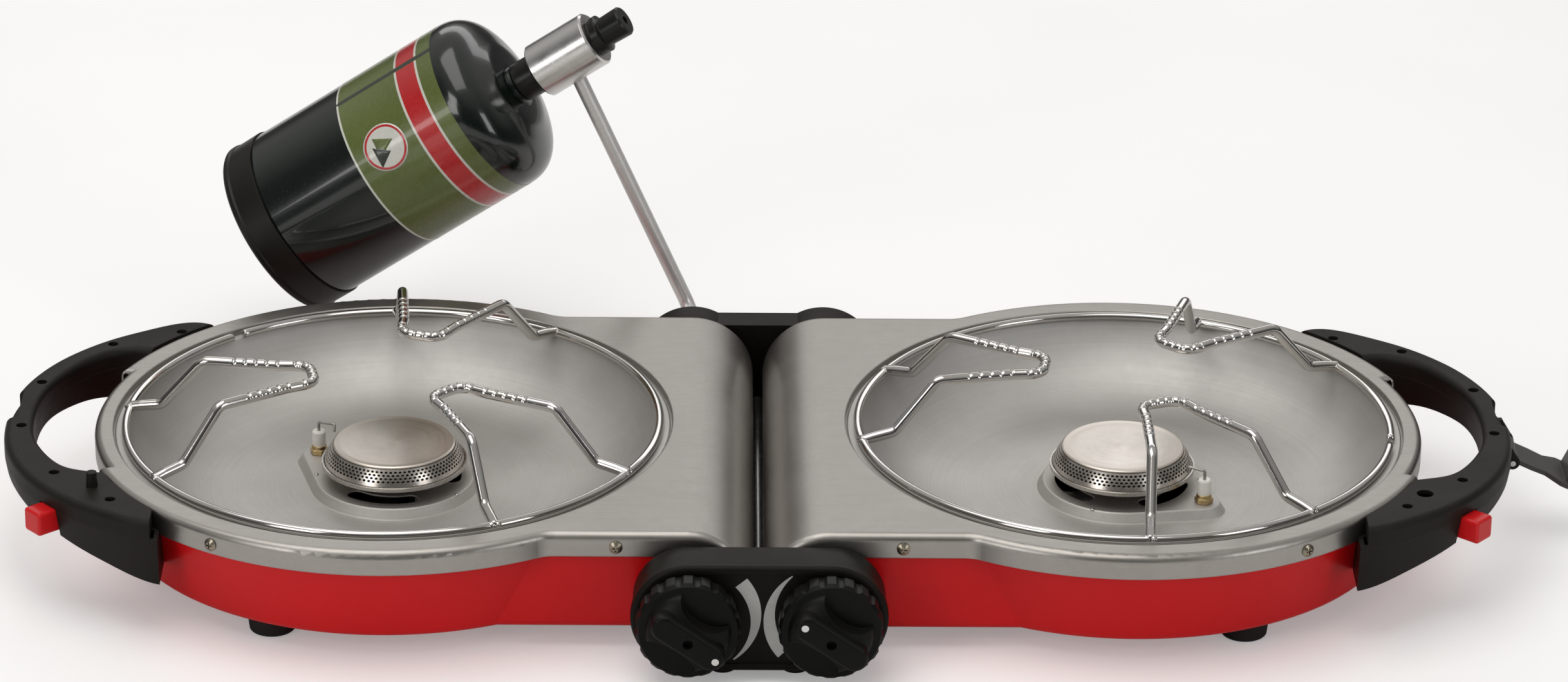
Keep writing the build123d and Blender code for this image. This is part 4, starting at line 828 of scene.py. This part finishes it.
def on_cone(centre, down, angle, depth):
    """Point at a share down the slope, sunk inward by the depth."""
    run, drop = CONE_FOOT[0] - CONE_TOP[0], CONE_TOP[1] - CONE_FOOT[1]
    slope = sqrt(run ** 2 + drop ** 2)
    normal_out, normal_up = drop / slope, run / slope
    offset = CONE_BULGE * sin(pi * down) - depth
    radius = CONE_TOP[0] + run * down + normal_out * offset
    return Vector((centre[0] + radius * cos(angle), centre[1] + radius * sin(angle),
                   CONE_TOP[1] - drop * down + normal_up * offset))


def burner_ring(side):
    verts, faces = [], []
    row_height = (1 - TOP_LIP - FOOT_LIP) / HOLE_ROWS
    turn = 2 * pi / HOLE_COLS
    hole_down, hole_turn = row_height * HOLE_SHARES[0], turn * HOLE_SHARES[1]
    corners = [radians(angle) for angle in (-135, -90, -45, 0, 45, 90, 135, 180)]

    def add(down, angle, depth):
        verts.append(on_cone(BOWLS[side], down, angle, depth))
        return len(verts) - 1

    def add_cell(top, start, depth, outer_skin):
        """A rectangle with an eight-sided hole; the outer skin's has a wall as well."""
        middle, bottom = top + row_height / 2, top + row_height
        centre, end = start + turn / 2, start + turn
        frame_points = [(top, start), (top, centre), (top, end), (middle, end),
                        (bottom, end), (bottom, centre), (bottom, start), (middle, start)]
        hole_points = [(middle + hole_down * sin(t), centre + hole_turn * cos(t))
                       for t in corners]
        outline = [add(down, angle, depth) for down, angle in frame_points]
        hole = [add(down, angle, depth) for down, angle in hole_points]
        for k in range(8):
            after = (k + 1) % 8
            face = (outline[k], outline[after], hole[after], hole[k])
            faces.append(face if outer_skin else face[::-1])
        if outer_skin:
            back = [add(down, angle, SHEET) for down, angle in hole_points]
            for k in range(8):
                after = (k + 1) % 8
                faces.append((hole[k], hole[after], back[after], back[k]))

    half_cells = [(c * turn / 2, (c + 1) * turn / 2) for c in range(2 * HOLE_COLS)]
    for depth, outer_skin in ((0.0, True), (SHEET, False)):
        for row in range(HOLE_ROWS):
            shift = 0.5 * turn * (row % 2)
            for col in range(HOLE_COLS):
                add_cell(TOP_LIP + row_height * row, col * turn + shift, depth, outer_skin)
        # The lips share the half-cell grid of the rows they meet
        for upper, lower in ((0.0, TOP_LIP), (1 - FOOT_LIP, 1.0)):
            for start, end in half_cells:
                face = (add(upper, start, depth), add(upper, end, depth),
                        add(lower, end, depth), add(lower, start, depth))
                faces.append(face if outer_skin else face[::-1])
    # Rims between the two skins
    for down in (0.0, 1.0):
        for start, end in half_cells:
            face = (add(down, start, 0), add(down, end, 0),
                    add(down, end, SHEET), add(down, start, SHEET))
            faces.append(face if down == 1.0 else face[::-1])
    new_part("perforated_ring_" + side, verts, faces, "ring_steel", "half_" + side,
             "burner_steel", replaces="burner_ring_" + side, crease=40)


for side in SIDES:
    burner_ring(side)


# ------------------------------------------------------------------ burner throats
# Dark sleeves of painted shade seen through the perforations: radius, depth below the deck top
THROAT_PROFILE = [(29.4, 15.0), (29.9, 15.2), (32.6, 21.6), (32.2, 22.2), (29.6, 22.2),
                  (29.0, 21.6)]


# A near-black, mottled painted shade standing in for the shaded inside of each burner
def throat_shade(name):
    mat = Material(name)
    soot_and_shade = mat.noise(scale=0.6, detail=4.0, rough=0.6)
    mat.set(Base_Color=mat.mix(soot_and_shade, base=(0.010, 0.009, 0.008), over=(0.035, 0.030, 0.026)),
            Roughness=mat.remap(soot_and_shade, to=(0.7, 0.95)), Metallic=0.3)
    mat.bump(soot_and_shade, depth=0.05)
    return mat.data


MATERIALS["throat"] = throat_shade("burner_throat_painted_shade")
for side in SIDES:
    profile = [(radius, DECK_TOP - depth) for radius, depth in THROAT_PROFILE]
    new_part("burner_throat_" + side, *lathe(profile, 72, upright(BOWLS[side])), "throat",
             "half_" + side, "burner_steel")


# ------------------------------------------------------------------ electrode nuts
NUT_FOOT = DECK_TOP - 31.95
NUT_BORE = 3.1
NUT_TURN = 0.2          # radians
NUT_SIDES = 48
# A hexagon that blends into a round ferrule: height, radius, roundness (1 is a circle)
NUT_ROWS = [
    (0.0, 4.6, 0.3), (0.35, 4.95, 0.0), (2.4, 4.95, 0.0), (2.75, 4.5, 0.5), (2.8, 4.0, 1.0),
    (4.5, 3.8, 1.0), (4.75, 3.55, 1.0), (4.75, NUT_BORE, 1.0), (0.0, NUT_BORE, 1.0),
]


def electrode_nut(side):
    centre_x, centre_y = middle_of("electrode_" + side)[:2]
    verts = []
    for height, radius, roundness in NUT_ROWS:
        for k in range(NUT_SIDES):
            angle = 2 * pi * k / NUT_SIDES
            hexagon = radius * cos(pi / 6) / cos((angle + NUT_TURN) % (pi / 3) - pi / 6)
            reach = hexagon * (1 - roundness) + radius * roundness
            verts.append(Vector((centre_x + reach * cos(angle), centre_y + reach * sin(angle),
                                 NUT_FOOT + height)))
    count = len(NUT_ROWS)
    faces = bands([(i, (i + 1) % count) for i in range(count)], NUT_SIDES)
    new_part("electrode_nut_" + side, verts, faces, "brass", "half_" + side, "brass", crease=30)


for side in SIDES:
    electrode_nut(side)


# ------------------------------------------------------------------ rivets round each burner
RIVET_RADIUS = 1.25
RIVET_CIRCLE = 40.3
RIVET_Z = DECK_TOP - 32.0
RIVET_ANGLES = (-35.0, 65.0, 180.0)     # degrees; the right burner's are half a turn on
RIVET_PROFILE = [                       # radius, z
    (0.0, RIVET_Z + 0.55 * RIVET_RADIUS), (0.45 * RIVET_RADIUS, RIVET_Z + 0.50 * RIVET_RADIUS),
    (0.8 * RIVET_RADIUS, RIVET_Z + 0.33 * RIVET_RADIUS), (RIVET_RADIUS, RIVET_Z + 0.04),
    (RIVET_RADIUS, RIVET_Z - 0.1), (0.0, RIVET_Z - 0.1),
]

for side, sign in zip(SIDES, (1.0, -1.0)):
    for number, angle in enumerate(RIVET_ANGLES, 1):
        spot = (BOWLS[side][0] + sign * RIVET_CIRCLE * cos(radians(angle)),
                BOWLS[side][1] + sign * RIVET_CIRCLE * sin(radians(angle)))
        new_part("pad_rivet_%s_%d" % (side, number), *lathe(RIVET_PROFILE, 24, upright(spot)),
                 "burner_steel", "half_" + side, "burner_steel")


# ------------------------------------------------------------------ heat marks on the panel
MARK_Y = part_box("control_panel")[0].y / MILLI + 1.2     # the marked field is set back
MARK_RAISED, MARK_SUNK = 0.12, 0.05
MARK_STEPS = 36
# Tapering crescents: two arcs, each as three points of (x, depth below the deck top)
HEAT_MARKS = {
    "left": (((-6.2, 10.4), (0.85, 29.6), (-12.3, 55.0)),
             ((-11.9, 15.2), (-4.3, 33.2), (-12.9, 54.6))),
    "right": (((15.9, 8.8), (2.0, 33.0), (9.3, 53.6)),
              ((16.2, 9.3), (7.6, 28.0), (14.2, 48.8))),
}


def arc_through(points):
    """Evenly spaced (x, z) points on the arc through three (x, z) points."""
    (ax, az), (bx, bz), (cx, cz) = points
    a_square, b_square, c_square = (x * x + z * z for x, z in points)
    divisor = 2 * (ax * (bz - cz) + bx * (cz - az) + cx * (az - bz))
    mid_x = (a_square * (bz - cz) + b_square * (cz - az) + c_square * (az - bz)) / divisor
    mid_z = (a_square * (cx - bx) + b_square * (ax - cx) + c_square * (bx - ax)) / divisor
    radius = sqrt((ax - mid_x) ** 2 + (az - mid_z) ** 2)
    start, middle, end = (atan2(z - mid_z, x - mid_x) for x, z in points)
    # Unwrap the angles so that each follows on from the last
    middle = start + math.remainder(middle - start, 2 * pi)
    end = middle + math.remainder(end - middle, 2 * pi)
    angles = [start + (end - start) * k / MARK_STEPS for k in range(MARK_STEPS + 1)]
    return [(mid_x + radius * cos(angle), mid_z + radius * sin(angle)) for angle in angles]


def heat_mark(side):
    outline = []
    for arc in HEAT_MARKS[side]:
        outline += arc_through([(x, DECK_TOP - depth) for x, depth in arc])
    verts = [Vector((x, y, z)) for y in (MARK_Y - MARK_RAISED, MARK_Y + MARK_SUNK)
             for x, z in outline]
    faces = []
    last, row = MARK_STEPS, MARK_STEPS + 1
    for k in range(last):
        faces.append((k, k + 1, row + k + 1, row + k))
        faces.append((2 * row + k, 3 * row + k, 3 * row + k + 1, 2 * row + k + 1))
        faces.append((k, 2 * row + k, 2 * row + k + 1, k + 1))
        faces.append((row + k, row + k + 1, 3 * row + k + 1, 3 * row + k))
    faces.append((0, row, 3 * row, 2 * row))
    faces.append((last, 2 * row + last, 3 * row + last, row + last))
    new_part("heat_mark_" + side, verts, faces, "silver_ink", "spine", "latch_grey",
             smooth=False)


for side in SIDES:
    heat_mark(side)


# ------------------------------------------------------------------ pointer dots on the knobs
DOT_RADIUS = 1.85
DOT_PROFILE = [         # radius, y from the knob's front
    (0.0, -0.10), (DOT_RADIUS * 0.7, -0.09), (DOT_RADIUS * 0.95, -0.06), (DOT_RADIUS, 0.02),
    (DOT_RADIUS, 0.15), (0.0, 0.15),
]


def pointer_dot(side, offset_x, offset_z):
    """A low round dot, offset from the middle of its knob."""
    knob = "knob_" + side
    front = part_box(knob)[0].y / MILLI
    knob_x, _, knob_z = middle_of(knob)

    def place(x, z, along):
        return Vector((knob_x + offset_x + x, front + along, knob_z + offset_z + z))

    new_part("pointer_dot_" + side, *lathe(DOT_PROFILE, 40, place), "white_ink", knob,
             "ceramic")


pointer_dot("left", offset_x=13.4, offset_z=-9.4)
pointer_dot("right", offset_x=-12.9, offset_z=9.1)

# ------------------------------------------------------------------ cylinder label
# Places on the can are a height along the axis from the base, and an angle from
# CAN_ACROSS towards CAN_UP
REGULATOR_HEIGHT = 195.6
CAN_RADIUS = 49.2
FILM = 0.10
regulator_low, regulator_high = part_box("regulator_body")
CAN_BASE = (regulator_low + regulator_high) / 2 / MILLI - CAN_AXIS * REGULATOR_HEIGHT
CAN_ACROSS = Vector((-CAN_AXIS.y, CAN_AXIS.x, 0.0)).normalized()    # level
CAN_UP = CAN_AXIS.cross(CAN_ACROSS).normalized()

SEAM = 112.0            # degrees
LABEL_LOW, LABEL_HIGH = 77.0, 139.6
STRIPE_LOW, STRIPE_HIGH = 117.0, 129.0
STRIPE_LINE = 1.4
BADGE_HEIGHT, BADGE_ANGLE = 97.0, 158.0


def on_can(height, angle, lift):
    """Point on the can; the angle is in radians."""
    return (CAN_BASE + CAN_AXIS * height
            + (CAN_ACROSS * cos(angle) + CAN_UP * sin(angle)) * (CAN_RADIUS + lift))


def on_badge(height, along_skin, lift):
    """Point given by its height and its distance round the skin from the badge's middle."""
    return on_can(height, radians(BADGE_ANGLE) + along_skin / CAN_RADIUS, lift)


def label_part(name, verts, faces, material, crease=None):
    new_part(name, verts, faces, material, "gas_cylinder", "cylinder_green", crease=crease)


def can_patch(name, low, high, start, end, lift, material, turn_step=3.0):
    """A thin curved patch between two heights and two angles in degrees."""
    rows = math.ceil((high - low) / 4.0)
    cols = math.ceil((end - start) / turn_step)
    width = cols + 1
    verts = [on_can(low + (high - low) * i / rows, radians(start + (end - start) * k / cols),
                    level)
             for level in (lift, lift - FILM) for i in range(rows + 1) for k in range(width)]
    faces = []
    back = (rows + 1) * width
    for i in range(rows):
        for k in range(cols):
            here = i * width + k
            after, above = here + 1, here + width
            faces.append((here, after, above + 1, above))
            faces.append((back + here, back + above, back + above + 1, back + after))
    for k in range(cols):
        faces.append((k, back + k, back + k + 1, k + 1))
        top = rows * width + k
        faces.append((top, top + 1, back + top + 1, back + top))
    for i in range(rows):
        here, above = i * width, (i + 1) * width
        faces.append((here, above, back + above, back + here))
        here, above = here + cols, above + cols
        faces.append((here, back + here, back + above, above))
    label_part(name, verts, faces, material, crease=50)


def can_band(name, low, high, margin, lift, material):
    """A patch right round the can, stopping short of the seam by the margin in degrees."""
    can_patch(name, low, high, SEAM + margin, SEAM + 360.0 - margin, lift, material)


def can_disc(name, outer, inner, lift, material):
    """A disc, or a ring when inner is above 0, wrapped on the can about the badge's middle."""
    sides, rows = 64, 6
    verts, faces = [], []
    for level in (lift, lift - FILM):
        for i in range(rows + 1):
            radius = inner + (outer - inner) * i / rows
            for k in range(sides):
                angle = 2 * pi * k / sides
                verts.append(on_badge(BADGE_HEIGHT + radius * cos(angle), radius * sin(angle),
                                      level))
    back = (rows + 1) * sides
    for face in bands([(i, i + 1) for i in range(rows)], sides):
        here, after, above_after, above = face
        faces.append(face)
        faces.append((back + here, back + above, back + above_after, back + after))
    for k in range(sides):
        after = (k + 1) % sides
        rim, rim_after = rows * sides + k, rows * sides + after
        faces.append((rim, rim_after, back + rim_after, back + rim))
        if inner > 0:
            faces.append((k, back + k, back + after, after))
    label_part(name, verts, faces, material)


def can_polygon(name, corners, lift, material):
    """A polygon of (height, distance round the skin), cut finely enough to follow the can."""
    flat = bmesh.new()
    flat.faces.new([flat.verts.new((height, skin, 0)) for height, skin in corners])
    bmesh.ops.triangulate(flat, faces=flat.faces)
    bmesh.ops.subdivide_edges(flat, edges=flat.edges, cuts=6, use_grid_fill=True)
    flat.verts.ensure_lookup_table()
    points = [(v.co.x, v.co.y) for v in flat.verts]
    triangles = [tuple(v.index for v in face.verts) for face in flat.faces]
    border = [(edge.verts[0].index, edge.verts[1].index)
              for edge in flat.edges if len(edge.link_faces) == 1]
    flat.free()
    verts = [on_badge(height, skin, level)
             for level in (lift, lift - FILM) for height, skin in points]
    faces = []
    back = len(points)
    for triangle in triangles:
        faces.append(triangle)
        faces.append(tuple(i + back for i in triangle[::-1]))
    for i, j in border:
        faces.append((i, j, j + back, i + back))
    label_part(name, verts, faces, material)


can_band("label_band", LABEL_LOW, LABEL_HIGH, margin=1.0, lift=0.10, material="label_green")
can_patch("label_seam", LABEL_LOW, LABEL_HIGH, SEAM - 1.6, SEAM + 1.6, lift=0.14,
          material="label_dark", turn_step=2.0)
can_band("label_edge_low", LABEL_LOW, LABEL_LOW + 1.2, margin=1.0, lift=0.15,
         material="label_cream")
can_band("label_stripe_red", STRIPE_LOW, STRIPE_HIGH, margin=2.0, lift=0.16,
         material="label_red")
can_band("label_stripe_line_low", STRIPE_LOW - STRIPE_LINE, STRIPE_LOW, margin=2.0, lift=0.17,
         material="label_cream")
can_band("label_stripe_line_high", STRIPE_HIGH, STRIPE_HIGH + STRIPE_LINE, margin=2.0,
         lift=0.17, material="label_cream")

can_disc("label_badge", outer=13.0, inner=0.0, lift=0.15, material="label_cream")
can_disc("label_badge_ring", outer=12.2, inner=11.0, lift=0.19, material="label_red")
can_polygon("label_badge_hill_back", [(92.0, -7.5), (92.0, 4.0), (103.0, -2.0)], lift=0.19,
            material="label_green")
can_polygon("label_badge_hill_front", [(90.0, -3.0), (90.0, 9.0), (99.0, 3.2)], lift=0.22,
            material="label_dark")

# ------------------------------------------------------------------ floor
FLOOR_GLOW = 0.27           # emission seen by the camera only
FLOOR_HALF_SIZE = 9.0       # metres
FLOOR_Z = -0.0003           # metres
FLOOR_CELLS = 24


def floor_paper(name):
    mat = Material(name)
    soft = mat.noise(scale=0.004, detail=3.0, rough=0.5)
    grain = mat.noise(scale=0.6, detail=3.0, rough=0.6)
    camera_ray = mat.node("ShaderNodeLightPath").outputs["Is Camera Ray"]
    mat.set(Base_Color=mat.layer(soft, base=(0.86, 0.86, 0.855), over=(0.89, 0.89, 0.885)),
            Roughness=mat.remap(grain, to=(0.55, 0.7)), Specular_IOR_Level=0.25,
            Emission_Color=(1.0, 1.0, 0.995),
            Emission_Strength=mat.times(camera_ray, FLOOR_GLOW))
    mat.bump(grain, depth=0.02)
    return mat.data


def stage_floor():
    mesh = bpy.data.meshes.new("studio_floor")
    work = bmesh.new()
    ticks = [FLOOR_HALF_SIZE * (2 * i / FLOOR_CELLS - 1) for i in range(FLOOR_CELLS + 1)]
    grid = [[work.verts.new((x, y, FLOOR_Z)) for x in ticks] for y in ticks]
    for j in range(FLOOR_CELLS):
        for i in range(FLOOR_CELLS):
            work.faces.new((grid[j][i], grid[j][i + 1], grid[j + 1][i + 1], grid[j + 1][i]))
    work.to_mesh(mesh)
    work.free()
    floor = bpy.data.objects.new("studio_floor", mesh)
    scene.collection.objects.link(floor)
    mesh.materials.append(floor_paper("studio_floor_paper"))


stage_floor()


# ------------------------------------------------------------------ lights
def softbox(name, place, target, size, power, color=(1, 1, 1)):
    """Rectangular light; lengths in metres, power in watts."""
    light = bpy.data.lights.new(name, "AREA")
    light.shape = "RECTANGLE"
    light.size, light.size_y = size
    light.energy = power
    light.color = color
    lamp = bpy.data.objects.new(name, light)
    lamp.location = place
    lamp.rotation_mode = "QUATERNION"
    lamp.rotation_quaternion = (Vector(target) - Vector(place)).to_track_quat("-Z", "Y")
    scene.collection.objects.link(lamp)


softbox("key_top", place=(-0.5, -0.2, 2.6), target=(0, 0, 0), size=(2.6, 1.9), power=27,
        color=(1.0, 0.985, 0.965))
softbox("fill_front_left", place=(-1.9, -2.2, 1.3), target=(0, 0, 0.08), size=(1.0, 1.5),
        power=17, color=(1.0, 0.99, 0.98))
softbox("fill_front_right", place=(2.2, -1.9, 1.2), target=(0, 0, 0.08), size=(0.9, 1.4),
        power=12, color=(0.98, 0.99, 1.0))
softbox("rim_back", place=(0.3, 2.6, 1.5), target=(0, 0, 0.1), size=(3.0, 0.7), power=9)

# ------------------------------------------------------------------ world
# Brightness by height, from 0 straight down to 1 straight up: position, brightness
BEHIND_STOPS = [(0.40, 0.16), (0.50, 0.05), (0.58, 0.07), (0.67, 0.34), (0.80, 0.46),
                (1.0, 0.50)]
FRONT_STOPS = [(0.40, 0.12), (0.50, 0.04), (0.60, 0.05), (0.74, 0.12), (0.88, 0.38),
               (1.0, 0.50)]
SKY_TINT = (1.0, 0.985, 0.962)
BACKDROP = (0.93, 0.93, 0.93)       # what the camera sees directly


def sky_ramp(nodes, height, stops):
    ramp = nodes.node("ShaderNodeValToRGB")
    elements = ramp.color_ramp.elements
    while len(elements) < len(stops):
        elements.new(0.5)
    for element, (position, value) in zip(elements, stops):
        element.position = position
        element.color = (*scaled(SKY_TINT, value), 1.0)
    nodes.put(ramp.inputs[0], height)
    return ramp.outputs[0]


def background(nodes, color):
    node = nodes.node("ShaderNodeBackground")
    nodes.fill(node, (color, 1.0))
    return node.outputs[0]


def build_world():
    world = bpy.data.worlds.new("studio")
    scene.world = world
    nodes = NodeTree(world)
    x, y, z = nodes.split(nodes.node("ShaderNodeTexCoord").outputs["Generated"])
    height = nodes.calc("MULTIPLY_ADD", z, 0.5, 0.5)
    sky = nodes.layer(y, base=sky_ramp(nodes, height, FRONT_STOPS),
                      over=sky_ramp(nodes, height, BEHIND_STOPS), span=(-0.25, 0.35))
    camera_ray = nodes.node("ShaderNodeLightPath").outputs["Is Camera Ray"]
    choice = nodes.node("ShaderNodeMixShader")
    nodes.fill(choice, (camera_ray, background(nodes, sky), background(nodes, BACKDROP)))
    output = nodes.node("ShaderNodeOutputWorld")
    nodes.put(output.inputs[0], choice.outputs[0])


build_world()

# ------------------------------------------------------------------ camera
CAMERA_PLACE = (-19.56, -2728.30, 1324.57)      # mm
CAMERA_YAW = radians(0.6731)                    # from +Y towards +X
CAMERA_PITCH = radians(23.982)                  # downward
CAMERA_ROLL = radians(0.603)


def add_camera():
    lens = bpy.data.cameras.new("camera")
    camera = bpy.data.objects.new("camera", lens)
    scene.collection.objects.link(camera)
    scene.camera = camera
    lens.sensor_fit = "HORIZONTAL"
    lens.sensor_width = 36.0
    lens.lens = 134.28
    lens.clip_start, lens.clip_end = 0.05, 60.0
    forward = Vector((sin(CAMERA_YAW) * cos(CAMERA_PITCH), cos(CAMERA_YAW) * cos(CAMERA_PITCH),
                      -sin(CAMERA_PITCH)))
    level = Vector((cos(CAMERA_YAW), -sin(CAMERA_YAW), 0.0))
    above = level.cross(forward)
    right = level * cos(CAMERA_ROLL) + above * sin(CAMERA_ROLL)
    top = above * cos(CAMERA_ROLL) - level * sin(CAMERA_ROLL)
    turn = Matrix((right, top, -forward)).transposed().to_4x4()
    camera.matrix_world = Matrix.Translation(Vector(CAMERA_PLACE) * MILLI) @ turn


add_camera()
scene.view_settings.view_transform = "Standard"
scene.view_settings.look = "None"
scene.view_settings.exposure = 0.0
